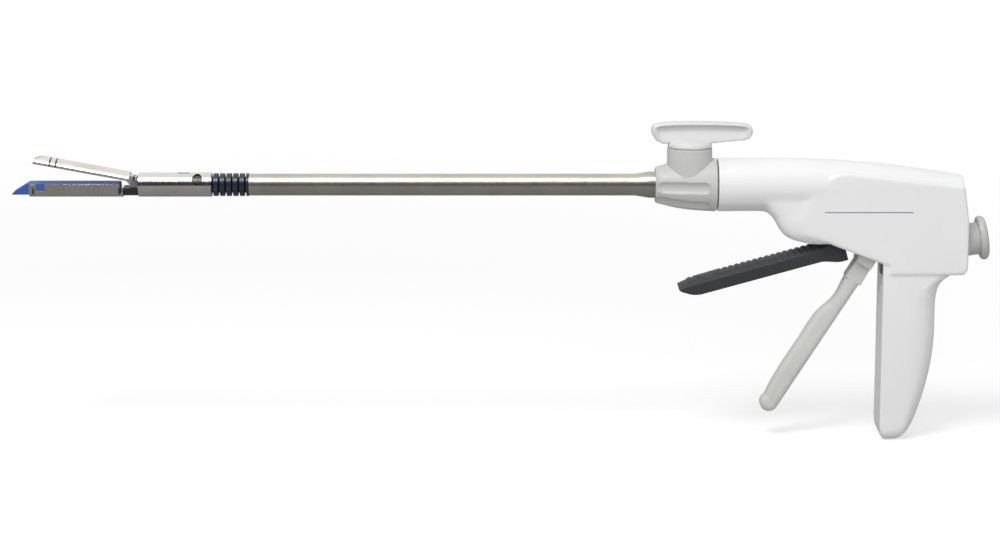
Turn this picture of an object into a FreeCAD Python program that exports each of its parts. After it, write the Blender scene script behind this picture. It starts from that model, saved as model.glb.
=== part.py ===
import FreeCAD, Part
import Sketcher

import math
import os

# Articulating endoscopic linear cutter, in millimetres.
# The origin is on the shaft's axis, at the middle of the closure sleeve.
# +X runs from the jaws to the handle, +Z is up and +Y is the instrument's right side.

doc = FreeCAD.newDocument("LinearCutter")

SIZES = {
    # Stations along the shaft
    "sleeve_length": 38.0,
    "sleeve_radius": 6.3,
    "sleeve_wall": 0.6,
    "closure_stroke": 3.85,
    "neck_rib_radius": 6.0,
    "neck_rib_width": 2.42,
    "neck_gap": 1.0,
    "neck_rib_count": 5,
    "neck_hinge_radius": 1.6,
    "neck_hinge_height": 8.0,
    "knife_slot_width": 1.0,
    "knife_slot_height": 4.6,
    "tube_radius": 5.7,
    "tube_wall": 0.6,
    "nose_x": 250.0,
    # Jaws
    "jaw_width": 10.6,
    "jaw_gap": 0.7,
    "deck_height": 1.3,
    "jaw_pivot_x": -21.2,
    "jaw_pivot_z": 1.0,
    "jaw_open_angle": 10.5,
    "anvil_length": 53.4,
    "channel_front": -76.0,
    "channel_wall": 0.9,
    "channel_rear": -27.2,
    "wall_height": -1.05,
    "nose_length": 9.0,
    "jaw_pin_radius": 0.9,
    "staple_pocket_pitch": 3.0,
    # Drive line
    "rod_radius": 2.0,
    "closure_tube_radius": 4.2,
    "closure_tube_wall": 0.6,
    "band_thickness": 0.45,
    "band_height": 2.4,
    "band_room": 0.15,
    # Rotation knob and articulation lever
    "knob_length": 32.0,
    "knob_nose_radius": 8.7,
    "knob_rear_radius": 13.9,
    "knob_flutes": 8,
    "tower_x": 267.9,
    "tower_radius": 11.8,
    "tower_top": 19.6,
    "hub_radius": 9.0,
    "hub_flange_radius": 11.2,
    "knob_cavity_radius": 8.3,
    "lever_front": 20.3,
    "lever_rear": 32.7,
    "lever_thickness": 8.0,
    "lever_top": 33.4,
    "stem_radius": 3.5,
    "drum_radius": 4.2,
    # Housing
    "seam_gap": 0.6,
    "barrel_radius": 14.0,
    "housing_wall": 2.0,
    "spine_rear_x": 410.0,
    "spine_rear_top": 5.2,
    "lobe_half": 12.6,
    "panel_half": 13.4,
    "grip_half": 12.4,
    "rear_x": 412.8,
    "grip_front_x": 368.7,
    "grip_bottom": -134.0,
    "slot_half": 8.4,
    # Trigger train
    "pivot_x": 366.0,
    "pivot_z": -28.5,
    "pivot_pin_radius": 2.0,
    "closing_angle": 24.0,
    "firing_angle": 35.0,
    "firing_lean": 15.5,
    "closing_lean": 58.0,
    "cheek_inner": 5.3,
    "cheek_outer": 8.0,
    "cheek_reach": 16.0,
    "firing_half": 5.7,
    "firing_inner": 5.6,
    "firing_start": 17.2,
    "firing_reach": 106.5,
    "closing_half": 5.4,
    "closing_reach": 108.0,
    "sector_module": 0.55,
    "sector_teeth": 90,
    "pinion_teeth": 10,
    "rack_module": 0.8,
    "gear_teeth": 16,
    "gear_axle_radius": 1.5,
    "sector_half": 2.5,
    "gear_near": 3.4,
    "gear_far": 6.6,
    "backlash": 0.1,
    "yoke_x": 300.0,
    "yoke_thickness": 8.0,
    "yoke_radius": 11.0,
    "link_pin_rise": 10.0,
    "link_pin_radius": 1.2,
    # Release button
    "button_x": 419.4,
    "button_z": -28.3,
    "button_tilt": 8.0,
    "button_radius": 11.6,
    "button_thickness": 4.4,
    "button_stem_radius": 8.5,
    "button_stroke": 2.5,
    # Fits
    "running_fit": 0.05,
    "joint_room": 0.3,
}

sheet = doc.addObject("Spreadsheet::Sheet", "Sizes")
for row, (alias, value) in enumerate(SIZES.items(), start=1):
    sheet.set("A%d" % row, alias)
    sheet.set("B%d" % row, str(value))
    sheet.setAlias("B%d" % row, alias)
doc.recompute()


class Size:
    """A length of the sheet, or one worked out from such lengths, with its expression."""

    def __init__(self, number, text):
        self.number = float(number)
        self.text = text

    def __add__(self, other):
        other = as_size(other)
        return Size(self.number + other.number, "(%s + %s)" % (self.text, other.text))

    def __sub__(self, other):
        other = as_size(other)
        return Size(self.number - other.number, "(%s - %s)" % (self.text, other.text))

    def __mul__(self, other):
        other = as_size(other)
        return Size(self.number * other.number, "(%s * %s)" % (self.text, other.text))

    def __truediv__(self, other):
        other = as_size(other)
        return Size(self.number / other.number, "(%s / %s)" % (self.text, other.text))

    def __neg__(self):
        return Size(-self.number, "(-1 * %s)" % self.text)


def as_size(value):
    return value if isinstance(value, Size) else Size(value, repr(float(value)))


def cell(alias):
    return Size(sheet.get(alias), "Sizes." + alias)


def value(alias):
    return float(sheet.get(alias))


ALONG = FreeCAD.Vector(1, 0, 0)
ACROSS = FreeCAD.Vector(0, 1, 0)
UP = FreeCAD.Vector(0, 0, 1)
# Longer than the instrument is wide, for a hole that goes right through
THROUGH = 40.0

finished = []
serial = [0]


def next_name(kind):
    serial[0] += 1
    return "%s%03d" % (kind, serial[0])


def bind(obj, path, size):
    obj.setExpression(path, as_size(size).text)


TURNS = {
    "X": FreeCAD.Rotation(ACROSS, 90),
    "Y": FreeCAD.Rotation(ALONG, -90),
    "Z": FreeCAD.Rotation(),
}


def place(obj, at, turn=None):
    obj.Placement = FreeCAD.Placement(FreeCAD.Vector(0, 0, 0), turn or FreeCAD.Rotation())
    for letter, size in zip("xyz", at):
        bind(obj, "Placement.Base." + letter, size)


def cylinder(radius, length, at, axis="X"):
    """A cylinder that starts at a point and runs along an axis."""
    obj = doc.addObject("Part::Cylinder", next_name("Cylinder"))
    bind(obj, "Radius", radius)
    bind(obj, "Height", length)
    place(obj, at, TURNS[axis])
    return obj


def box(low, size):
    """A box from its lowest corner and its three lengths."""
    obj = doc.addObject("Part::Box", next_name("Box"))
    for prop, length in zip(("Length", "Width", "Height"), size):
        bind(obj, prop, length)
    place(obj, low)
    return obj


def fuse(*pieces):
    obj = doc.addObject("Part::MultiFuse", next_name("Fuse"))
    obj.Shapes = list(pieces)
    return obj


def cut(base, *tools):
    obj = doc.addObject("Part::Cut", next_name("Cut"))
    obj.Base = base
    obj.Tool = tools[0] if len(tools) == 1 else fuse(*tools)
    return obj


def common(*pieces):
    obj = doc.addObject("Part::MultiCommon", next_name("Common"))
    obj.Shapes = list(pieces)
    return obj


def node(label, obj):
    """Give a finished sub-part its name."""
    obj.Label = label
    finished.append(obj)
    return obj


def feature(label, shape, origin=None):
    """A sub-part whose shape is worked out here, with its own placement."""
    obj = doc.addObject("Part::Feature", next_name("Feature"))
    if origin is None:
        obj.Shape = shape
        return node(label, obj)
    at = FreeCAD.Vector(*origin)
    back = FreeCAD.Matrix()
    back.move(-at)
    obj.Shape = shape.transformed(back, copy=True)
    obj.Placement = FreeCAD.Placement(at, FreeCAD.Rotation())
    return node(label, obj)


def origin_plane(body, role):
    for item in body.Origin.OriginFeatures:
        if item.Role == role:
            return item
    raise ValueError(role)


def closed_sketch(body, points, plane="XZ_Plane"):
    """A closed outline whose every corner is held by two lengths of the sheet."""
    sketch = body.newObject("Sketcher::SketchObject", next_name("Sketch"))
    sketch.AttachmentSupport = (origin_plane(body, plane), [""])
    sketch.MapMode = "FlatFace"
    corners = [FreeCAD.Vector(as_size(u).number, as_size(v).number, 0) for u, v in points]
    for index, corner in enumerate(corners):
        follower = corners[(index + 1) % len(corners)]
        sketch.addGeometry(Part.LineSegment(corner, follower), False)
    count = len(corners)
    for index in range(count):
        constraint = Sketcher.Constraint("Coincident", index, 2, (index + 1) % count, 1)
        sketch.addConstraint(constraint)
    for index, (u, v) in enumerate(points):
        for kind, size in (("DistanceX", as_size(u)), ("DistanceY", as_size(v))):
            constraint = Sketcher.Constraint(kind, -1, 1, index, 1, size.number)
            place_in_list = sketch.addConstraint(constraint)
            sketch.setExpression("Constraints[%d]" % place_in_list, size.text)
    return sketch


def turned_body(label, points):
    """A piece turned about the shaft's axis from its half section."""
    body = doc.addObject("PartDesign::Body", next_name("Body"))
    sketch = closed_sketch(body, points)
    turn = body.newObject("PartDesign::Revolution", next_name("Revolution"))
    turn.Profile = sketch
    turn.ReferenceAxis = (sketch, ["H_Axis"])
    turn.Angle = 360
    body.Tip = turn
    if label:
        node(label, body)
    return body


def padded_body(label, points, half, plane="XZ_Plane"):
    """A flat piece, its outline padded to both sides of the middle plane."""
    body = doc.addObject("PartDesign::Body", next_name("Body"))
    sketch = closed_sketch(body, points, plane)
    pad = body.newObject("PartDesign::Pad", next_name("Pad"))
    pad.Profile = sketch
    pad.Midplane = True
    bind(pad, "Length", as_size(half) * 2)
    body.Tip = pad
    if label:
        node(label, body)
    return body


def ring_points(start, end, inner, outer):
    return [(start, inner), (end, inner), (end, outer), (start, outer)]


def vector(x, z, y=0.0):
    return FreeCAD.Vector(x, y, z)


def smooth_edge(points):
    curve = Part.BSplineCurve()
    curve.interpolate([vector(x, z) for x, z in points])
    return curve.toShape()


def line_edge(a, b):
    return Part.makeLine(vector(*a), vector(*b))


INSET_POINTS = 13


def slab(face, half):
    """A flat face in the middle plane, thickened by the same length to both sides."""
    moved = face.copy()
    moved.translate(FreeCAD.Vector(0, -half, 0))
    return moved.extrude(FreeCAD.Vector(0, 2 * half, 0))


def rim_edges(solid, half, keep=None):
    """The outline's edges on both flat sides of a slab."""
    chosen = []
    for edge in solid.Edges:
        level = [abs(abs(vertex.Point.y) - half) < 1e-6 for vertex in edge.Vertexes]
        middle = edge.valueAt((edge.FirstParameter + edge.LastParameter) / 2)
        if all(level) and abs(abs(middle.y) - half) < 1e-6:
            if keep is None or keep(middle):
                chosen.append(edge)
    return chosen


# Stations worked out from the sizes
half_sleeve = cell("sleeve_length") / 2
neck_pitch = cell("neck_rib_width") + cell("neck_gap")
neck_end = half_sleeve + neck_pitch * cell("neck_rib_count") + cell("neck_gap")
nose = cell("nose_x")
knob_rear = nose + cell("knob_length")
barrel_x = knob_rear + cell("seam_gap")
bore_radius = cell("tube_radius") - cell("tube_wall")


def hinge_x(index):
    """The hinge line of a gap in the neck, counted from the jaws."""
    return half_sleeve + cell("neck_gap") / 2 + neck_pitch * index


def knuckle(index):
    height = cell("neck_hinge_height")
    return cylinder(cell("neck_hinge_radius"), height, (hinge_x(index), 0, -height / 2), "Z")


def knuckle_seat(index):
    height = cell("neck_hinge_height") + cell("running_fit") * 2
    radius = cell("neck_hinge_radius") + cell("running_fit")
    return cylinder(radius, height, (hinge_x(index), 0, -height / 2), "Z")


def knife_slot(start, end):
    width = cell("knife_slot_width")
    height = cell("knife_slot_height")
    return box((start, -width / 2, -height / 2), (end - start, width, height))


def band_slots(start, end, floor):
    """The two side slots that the articulation bands run in."""
    depth = cell("neck_rib_radius") - floor
    height = cell("band_height") + cell("joint_room")
    left = box((start, floor, -height / 2), (end - start, depth, height))
    right = box((start, -floor - depth, -height / 2), (end - start, depth, height))
    return left, right


def make_neck():
    """Five rib links and the ferrule: each carries a knuckle that turns in the next one's seat."""
    for index in range(int(value("neck_rib_count"))):
        start = half_sleeve + cell("neck_gap") + neck_pitch * index
        width = cell("neck_rib_width")
        disc = cylinder(cell("neck_rib_radius"), width, (start, 0, 0))
        body = cut(fuse(disc, knuckle(index)), knuckle_seat(index + 1),
                   knife_slot(start - 3, start + width + 1),
                   *band_slots(start - 0.5, start + width + 0.5, cell("neck_rib_radius") - 0.8))
        node("neck_rib_%d" % (index + 1), body)
    last = int(value("neck_rib_count"))
    length = 9.0
    plug = cylinder(bore_radius - cell("running_fit"), length, (neck_end, 0, 0))
    collar = cylinder(cell("neck_rib_radius"), 1.2, (neck_end, 0, 0))
    bore = cylinder(cell("rod_radius") + 0.2, length, (neck_end + 4, 0, 0))
    body = cut(fuse(plug, collar, knuckle(last)), knife_slot(neck_end - 3, neck_end + 6), bore,
               *band_slots(neck_end + 1.3, neck_end + length + 1, cell("closure_tube_radius")))
    node("neck_ferrule", body)


WINDOW_RADIUS = 2.8
WINDOW_BACK = 7.25
WINDOW_RISE = 3.2
SLOT_BACK = 17.6
SLOT_LENGTH = 5.9
SLOT_WIDTH = 2.8


def make_end_effector():
    """Retainer, channel, cartridge, anvil and the sleeve that closes them."""
    radius = cell("sleeve_radius")
    inner = radius - cell("sleeve_wall")
    seat = inner - cell("running_fit")
    # The sleeve is a tube that slides over the retainer
    sleeve = turned_body(None, ring_points(-half_sleeve, half_sleeve, inner, radius))
    window = cylinder(WINDOW_RADIUS, radius * 2, (half_sleeve - WINDOW_BACK, -radius * 1.5, WINDOW_RISE), "Y")
    top_slot = box((half_sleeve - SLOT_BACK, -SLOT_WIDTH / 2, radius - 2), (SLOT_LENGTH, SLOT_WIDTH, 3))
    node("closure_sleeve", cut(sleeve, window, top_slot))
    # The retainer is a plug in the sleeve with a flat floor that carries the channel
    length = cell("sleeve_length")
    plug = cylinder(seat, length, (-half_sleeve, 0, 0))
    rear = cell("channel_rear")
    tongue = common(cylinder(seat, -half_sleeve - rear + 0.5, (rear, 0, 0)),
                    box((rear, -6, -6), (-half_sleeve - rear + 0.5, 12, cell("wall_height") + 6)))
    clevis_room = box((-half_sleeve - 1, -3.1, cell("wall_height")), (7.5, 6.2, 8))
    body = cut(fuse(plug, tongue), knife_slot(-half_sleeve - 12, half_sleeve + 2), knuckle_seat(0),
               clevis_room)
    node("channel_retainer", body)
    make_channel(seat)
    make_anvil()


STAPLE_LINES = (1.5, 2.7, 3.9)
STAPLES_PER_LINE = 13
POCKET_LENGTH = 2.2
POCKET_WIDTH = 0.6


def staple_places():
    """The corner of each staple pocket: how far behind the channel's front, and how far across."""
    pitch = value("staple_pocket_pitch")
    places = []
    for line, offset in enumerate(STAPLE_LINES):
        stagger = pitch / 2 * (line % 2)
        for side in (-1, 1):
            for step in range(STAPLES_PER_LINE):
                places.append((4.0 + pitch * step + stagger, side * offset - POCKET_WIDTH / 2))
    return places


def make_channel(seat):
    """The channel, the cartridge that fills it and the knife in the cartridge's groove."""
    width = cell("jaw_width")
    radius = cell("sleeve_radius")
    front = cell("channel_front")
    rear = cell("channel_rear")
    floor = cell("wall_height")
    wall = cell("channel_wall")
    outside = common(cylinder(radius, rear - front, (front, 0, 0)),
                     box((front, -width / 2, -8), (rear - front, width, floor + 8)))
    hollow = box((front - 1, -width / 2 + wall, -radius + wall + 1.2),
                 (rear - front + 2, width - wall * 2, 8))
    notch = box((front + 4.2, -8, floor - 1.5), (4.0, 16, 3))
    ear_room = box((rear - 1.5, -8, -4.0), (3, 16, 8))
    node("cartridge_channel", cut(outside, hollow, notch, ear_room))
    # The cartridge fills the channel and its nose runs out in front
    room = cell("joint_room") / 6
    half = width / 2 - wall - room
    low = -radius + wall + 1.2 + room
    deck = cell("deck_height")
    length = rear - front
    core = box((front, -half, low), (length - 1.7, half * 2, deck - low))
    lip = box((front + 0.05, -width / 2 + 0.1, floor + room),
              (length - 1.8, width - 0.2, deck - floor - room))
    clip = box((front + 4.3, -width / 2, floor - 1.4), (3.8, width, 1.6))
    nose_tip = front - cell("nose_length")
    nose_points = [(nose_tip, low - 0.5), (nose_tip + 1.2, low + 1.0), (front - 0.6, deck), (front, deck),
                   (front, low - 0.5)]
    nose_block = padded_body(None, nose_points, width / 2 - 0.4)
    groove = box((front - 3, -0.5, -3.2), (length + 4, 1.0, 8))
    crown = common(fuse(core, lip, clip, nose_block), cylinder(radius, 90, (front - 12, 0, 0)))
    pockets = []
    for shift, offset in staple_places():
        pockets.append(box((front + shift, offset, deck - 0.8), (POCKET_LENGTH, POCKET_WIDTH, 1)))
    node("staple_cartridge", cut(crown, groove, *pockets))
    # The firing knife stands in the cartridge's groove
    knife = padded_body(None, [(rear - 8.5, -3.0), (rear - 2.4, -3.0), (rear - 2.4, deck - 0.2),
                               (rear - 6.2, deck - 0.2)], 0.4)
    node("knife", knife)


def make_anvil():
    """A half-round beam, modelled closed and then swung open about its pin."""
    radius = cell("sleeve_radius")
    under = value("deck_height") + value("jaw_gap")
    pivot = vector(value("jaw_pivot_x"), value("jaw_pivot_z"))
    tip_x = value("jaw_pivot_x") - value("anvil_length")
    bar = Part.makeCylinder(radius.number, value("anvil_length") - 3.0, vector(tip_x, 0.0), vector(1, 0))
    half = value("jaw_width") / 2
    flat = Part.makeBox(value("anvil_length"), 2 * half, 10, FreeCAD.Vector(tip_x, -half, under))
    beam = bar.common(flat)
    # The tip is rounded down to a snout
    snout = Part.Face(Part.Wire([
        line_edge((tip_x - 1, under + 1.4), (tip_x - 1, 9)),
        line_edge((tip_x - 1, 9), (tip_x + 7, 9)),
        line_edge((tip_x + 7, 9), (tip_x + 7, radius.number)),
        Part.Arc(vector(tip_x + 7, radius.number), vector(tip_x + 2.2, under + 3.3),
                 vector(tip_x - 1, under + 1.4)).toShape()]))
    beam = beam.cut(slab(snout, 9))
    # The knife's slot in the underside, and the rows of staple forming pockets
    length = value("anvil_length")
    slot = Part.makeBox(length - 11, 1.0, 2.4, FreeCAD.Vector(tip_x + 7, -0.5, under - 0.1))
    beam = beam.cut(slot)
    dents = []
    for shift, offset in staple_places():
        corner = FreeCAD.Vector(value("channel_front") + shift, offset, under - 0.05)
        dents.append(Part.makeBox(POCKET_LENGTH, POCKET_WIDTH, 0.3, corner))
    beam = beam.cut(Part.Compound(dents))
    # The heel drops to the pin, narrow enough to swing inside the sleeve
    heel = Part.Face(Part.Wire([
        line_edge((pivot.x - 5.0, under + 2.6), (pivot.x - 5.0, under)),
        line_edge((pivot.x - 5.0, under), (pivot.x - 2.0, pivot.z - 1.3)),
        line_edge((pivot.x - 2.0, pivot.z - 1.3), (pivot.x + 0.6, pivot.z - 1.3)),
        Part.Arc(vector(pivot.x + 0.6, pivot.z - 1.3), vector(pivot.x + 1.6, pivot.z - 0.5),
                 vector(pivot.x + 1.8, pivot.z + 1.0)).toShape(),
        line_edge((pivot.x + 1.8, pivot.z + 1.0), (pivot.x + 0.6, under + 2.6)),
        line_edge((pivot.x + 0.6, under + 2.6), (pivot.x - 5.0, under + 2.6))]))
    beam = beam.fuse(slab(heel, 3.0))
    hole_radius = value("jaw_pin_radius") + value("running_fit")
    hole = Part.makeCylinder(hole_radius, 14, vector(pivot.x, pivot.z, -7.0), ACROSS)
    beam = beam.cut(hole).removeSplitter()
    turn = FreeCAD.Rotation(ACROSS, value("jaw_open_angle"))
    swing = FreeCAD.Placement(FreeCAD.Vector(), turn, pivot)
    beam = beam.transformed(swing.toMatrix(), copy=True)
    feature("anvil", beam, (pivot.x, 0, pivot.z))
    # The pin crosses the heel and sits in two ears of its own carrier
    pin_half = 4.6
    pin = cylinder(cell("jaw_pin_radius"), pin_half * 2,
                   (cell("jaw_pivot_x"), -pin_half, cell("jaw_pivot_z")), "Y")
    ear_points = [(cell("jaw_pivot_x") - 2.2, cell("wall_height") + 0.02),
                  (cell("jaw_pivot_x") + 2.0, cell("wall_height") + 0.02),
                  (cell("jaw_pivot_x") + 1.6, cell("jaw_pivot_z") + 1.6),
                  (cell("jaw_pivot_x") - 1.6, cell("jaw_pivot_z") + 1.6)]
    ears = cut(padded_body(None, ear_points, 4.2),
               box((cell("jaw_pivot_x") - 4, -3.15, -3), (8, 6.3, 8)))
    seat = cell("sleeve_radius") - cell("sleeve_wall") - cell("running_fit")
    node("anvil_pivot_pin", fuse(pin, common(ears, cylinder(seat, 10, (cell("jaw_pivot_x") - 5, 0, 0)))))


def make_shaft():
    """Outer tube, closure tube, bands and firing rod."""
    tube_end = nose + 8.0
    radius = cell("tube_radius")
    points = [(neck_end + 1.3, bore_radius), (tube_end, bore_radius), (tube_end, radius + 1.2),
              (nose - 3.0, radius + 1.2), (nose - 10.5, radius), (neck_end + 1.3, radius)]
    turned_body("shaft_tube", points)
    outer = cell("closure_tube_radius")
    inner = outer - cell("closure_tube_wall")
    start = neck_end + 9.0 + cell("closure_stroke") + 1.0
    turned_body("closure_tube", ring_points(start, cell("yoke_x") + cell("yoke_thickness"), inner, outer))
    near = outer + cell("band_room")
    thickness = cell("band_thickness")
    height = cell("band_height")
    band_start = neck_end + 6.0
    for label, low in (("articulation_band_right", near), ("articulation_band_left", -near - thickness)):
        strip = box((band_start, low, -height / 2), (cell("tower_x") + 6.0 - band_start, thickness, height))
        tab = box((cell("tower_x") - 6.0, low, 0), (12.0, thickness, 6.4))
        node(label, fuse(strip, tab))


def make_knob():
    """The fluted nozzle with the lever's tower on top and a flanged hub behind."""
    body = doc.addObject("PartDesign::Body", "KnobBody")
    nose_radius = cell("knob_nose_radius")
    rear_radius = cell("knob_rear_radius")
    tube_seat = cell("tube_radius") + 1.2 + cell("running_fit")
    cavity = cell("knob_cavity_radius")
    tube_end = nose + 8.0
    through = cell("closure_tube_radius") + cell("joint_room")
    hub = cell("hub_radius")
    flange = cell("hub_flange_radius")
    ring_end = barrel_x + 3.7 + cell("joint_room")
    points = [(nose, tube_seat), (tube_end, tube_seat), (tube_end, cavity), (knob_rear - 3.0, cavity),
              (knob_rear - 3.0, through), (ring_end + 3.0, through), (ring_end + 3.0, flange),
              (ring_end, flange), (ring_end, hub), (knob_rear, hub), (knob_rear, rear_radius - 0.6),
              (knob_rear - 0.6, rear_radius), (knob_rear - 10.0, rear_radius - 0.4),
              (nose + 2.5, nose_radius + 0.9), (nose + 0.8, nose_radius), (nose, nose_radius - 1.0)]
    sketch = closed_sketch(body, points)
    turn = body.newObject("PartDesign::Revolution", "KnobTurn")
    turn.Profile = sketch
    turn.ReferenceAxis = (sketch, ["H_Axis"])
    turn.Angle = 360
    body.Tip = turn
    tower_x = cell("tower_x")
    tower = cylinder(cell("tower_radius"), cell("tower_top"), (tower_x, 0, 0), "Z")
    trimmed = cut(tower, cylinder(cavity, cell("knob_length") - 5.0, (nose + 2.0, 0, 0)),
                  cylinder(through, cell("knob_length"), (nose, 0, 0)))
    stem_hole = cylinder(cell("stem_radius") + cell("running_fit"), 40, (tower_x, 0, 0), "Z")
    flutes = []
    count = int(value("knob_flutes"))
    for index in range(count):
        angle = math.radians(360.0 / count * index)
        if math.sin(angle) > 0.7:
            continue
        reach = rear_radius + 1.6
        groove = cylinder(3.0, 21.0, (nose + 4.5, reach * math.cos(angle), reach * math.sin(angle)))
        ball = doc.addObject("Part::Sphere", next_name("Sphere"))
        bind(ball, "Radius", 3.0)
        place(ball, (nose + 25.5, reach * math.cos(angle), reach * math.sin(angle)))
        flutes.extend([groove, ball])
    node("rotation_knob", cut(fuse(body, trimmed), stem_hole, *flutes))


def make_lever():
    """The T-shaped articulation lever, its domed cap and the drum on its stem."""
    tower_x = value("tower_x")
    top = value("lever_top")
    base = value("tower_top") + value("joint_room")
    front = tower_x - value("lever_front")
    rear = tower_x + value("lever_rear")
    outline = Part.Wire([
        smooth_edge([(front + 5.0, base + 1.6), (front + 1.2, base + 4.6), (front, base + 9.0),
                     (front + 1.8, top - 1.5), (front + 6.0, top - 0.6)]),
        smooth_edge([(front + 6.0, top - 0.6), (tower_x - 4.0, top), (tower_x + 12.0, top - 0.2),
                     (rear - 5.0, top - 1.2)]),
        smooth_edge([(rear - 5.0, top - 1.2), (rear - 0.9, top - 2.8), (rear, top - 5.8),
                     (rear - 1.6, top - 8.6), (rear - 5.5, top - 9.6)]),
        line_edge((rear - 5.5, top - 9.6), (tower_x + 9.5, base + 1.6)),
        line_edge((tower_x + 9.5, base + 1.6), (front + 5.0, base + 1.6))])
    half = value("lever_thickness") / 2
    paddle = slab(Part.Face(outline), half)
    paddle = paddle.makeFillet(2.4, rim_edges(paddle, half))
    for side in (-1, 1):
        scoop = Part.makeCylinder(9.0, 60, FreeCAD.Vector(front + 6.5, side * (half + 7.6), base + 7.2),
                                  ALONG)
        limit = Part.makeBox(rear - front - 13, 12, 9.0, FreeCAD.Vector(front + 6.5, -6, base + 2.8))
        paddle = paddle.cut(scoop.common(limit))
    radius = value("tower_radius") - 0.4
    rise = 4.0
    sphere_radius = (radius ** 2 + rise ** 2) / (2 * rise)
    ball = Part.makeSphere(sphere_radius, vector(tower_x, base + 0.8 + rise - sphere_radius))
    cap = ball.common(Part.makeCylinder(radius, rise + 2, vector(tower_x, base + 0.8), vector(0, 1)))
    rim = Part.makeCylinder(radius, 0.8, vector(tower_x, base), vector(0, 1))
    stem = Part.makeCylinder(value("stem_radius"), base - 6.0, vector(tower_x, 6.0), vector(0, 1))
    feature("articulation_lever", paddle.fuse([cap, rim, stem]).removeSplitter(), (tower_x, 0, base))
    drum_low = value("closure_tube_radius") + 0.4
    drum = Part.makeCylinder(value("drum_radius"), 6.0 - drum_low, vector(tower_x, drum_low), vector(0, 1))
    feature("articulation_drum", drum, (tower_x, 0, drum_low))


# Place, half width and crown height along the round back, for a barrel of this radius
SPINE_RADIUS = 14.0
SPINE_STATIONS = [(316.7, 14.0, 14.0), (348.9, 13.4, 12.8), (373.7, 12.8, 10.5), (398.5, 12.0, 7.0)]


def spine_solid(shrink, start):
    """The round back of the housing, lofted from the barrel to the tail."""
    tail = (value("spine_rear_x") - shrink, 11.6, value("spine_rear_top"))
    stations = [(start, SPINE_RADIUS, SPINE_RADIUS)] + SPINE_STATIONS + [tail]
    ratio = value("barrel_radius") / SPINE_RADIUS
    crown, side, base = UP, ACROSS, -UP
    halves = [Part.Arc(crown, side, base).toShape(), Part.Arc(base, -side, crown).toShape()]
    rings = []
    for x, half, top in stations:
        low = -value("barrel_radius") + shrink
        high = top * ratio - shrink
        stretch = FreeCAD.Matrix()
        stretch.scale(1, half * ratio - shrink, (high - low) / 2)
        stretch.move(vector(x, (low + high) / 2))
        rings.append(Part.Wire([edge.transformGeometry(stretch) for edge in halves]))
    return Part.makeLoft(rings, True, False)


def lobe_face():
    """The chin in front of the triggers and the belly above them."""
    front = value("grip_front_x")
    return Part.Face(Part.Wire([
        line_edge((306.5, -5.0), (308.3, -14.0)),
        smooth_edge([(308.3, -14.0), (312.2, -17.8), (314.6, -22.4), (319.0, -26.6), (325.5, -29.0),
                     (333.0, -30.2), (341.9, -29.9)]),
        line_edge((341.9, -29.9), (front + 6.0, -42.3)),
        line_edge((front + 6.0, -42.3), (front + 6.0, -5.0)),
        line_edge((front + 6.0, -5.0), (306.5, -5.0))]))


def panel_face():
    """The flat raised side of the body, with its sweeping front edge."""
    front = value("grip_front_x")
    rear = value("rear_x")
    return Part.Face(Part.Wire([
        smooth_edge([(352.0, 7.6), (342.0, 6.6), (334.0, 0.0), (327.0, -10.0), (321.9, -20.0),
                     (323.5, -23.0), (331.0, -27.0), (341.9, -30.1)]),
        line_edge((341.9, -30.1), (front + 3.1, -41.3)),
        line_edge((front + 3.1, -41.3), (front + 3.1, -46.0)),
        line_edge((front + 3.1, -46.0), (rear - 2.0, -46.0)),
        line_edge((rear - 2.0, -46.0), (rear, -43.0)),
        line_edge((rear, -43.0), (rear, -18.0)),
        line_edge((rear, -18.0), (value("spine_rear_x"), 1.2)),
        line_edge((value("spine_rear_x"), 1.2), (352.0, 7.6))]))


def grip_face():
    """The pistol grip with its palm swell."""
    front = value("grip_front_x")
    rear = value("rear_x")
    low = value("grip_bottom")
    return Part.Face(Part.Wire([
        line_edge((front, -42.0), (front, -126.0)),
        smooth_edge([(front, -126.0), (front + 0.7, low + 3.2), (front + 2.2, low)]),
        line_edge((front + 2.2, low), (378.5, low)),
        smooth_edge([(378.5, low), (384.4, -130.0), (388.6, -121.5), (392.2, -110.5), (395.6, -95.5),
                     (397.3, -78.0), (397.4, -60.5), (399.2, -52.2), (404.9, -46.6), (rear - 0.1, -43.4)]),
        line_edge((rear - 0.1, -43.4), (rear - 0.1, -36.0)),
        line_edge((rear - 0.1, -36.0), (front, -36.0)),
        line_edge((front, -36.0), (front, -42.0))]))


def rounded_slab(face, half, radius, keep=None):
    solid = slab(face, half)
    return solid.makeFillet(radius, rim_edges(solid, half, keep))


def plain_edge(edge):
    """The same edge as a straight line or a fresh smooth curve."""
    if isinstance(edge.Curve, Part.Line):
        return Part.makeLine(*[vertex.Point for vertex in edge.Vertexes])
    curve = Part.BSplineCurve()
    curve.interpolate(edge.discretize(INSET_POINTS))
    return curve.toShape()


def hollow_slab(face, half, wall):
    """The room inside a slab whose walls are all of one thickness."""
    inset = face.makeOffset2D(-wall).Wires[0]
    outline = Part.Wire([plain_edge(edge) for edge in inset.OrderedEdges])
    return slab(Part.Face(outline), half - wall)


SCREW_PLACES = [(325.0, -22.0), (394.0, 0.8), (376.0, -62.0), (378.0, -118.0), (391.0, -42.0)]
SCREW_RADIUS = 1.2
SCREW_LENGTH = 14.0
SCREW_HEAD_RADIUS = 2.4
SCREW_HEAD_THICKNESS = 2.0
SCREW_SEAT = 7.0
SCREW_HOLE_LENGTH = 16.0
SOCKET_RADIUS = 1.0
SOCKET_DEPTH = 1.1
FLANGE_GROOVE = 3.7


def grip_edge_rounded(point):
    """The grip's edges are rounded below the body and behind its flat front corner."""
    return point.x > value("grip_front_x") + 8.5 and point.z < -44.0


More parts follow.
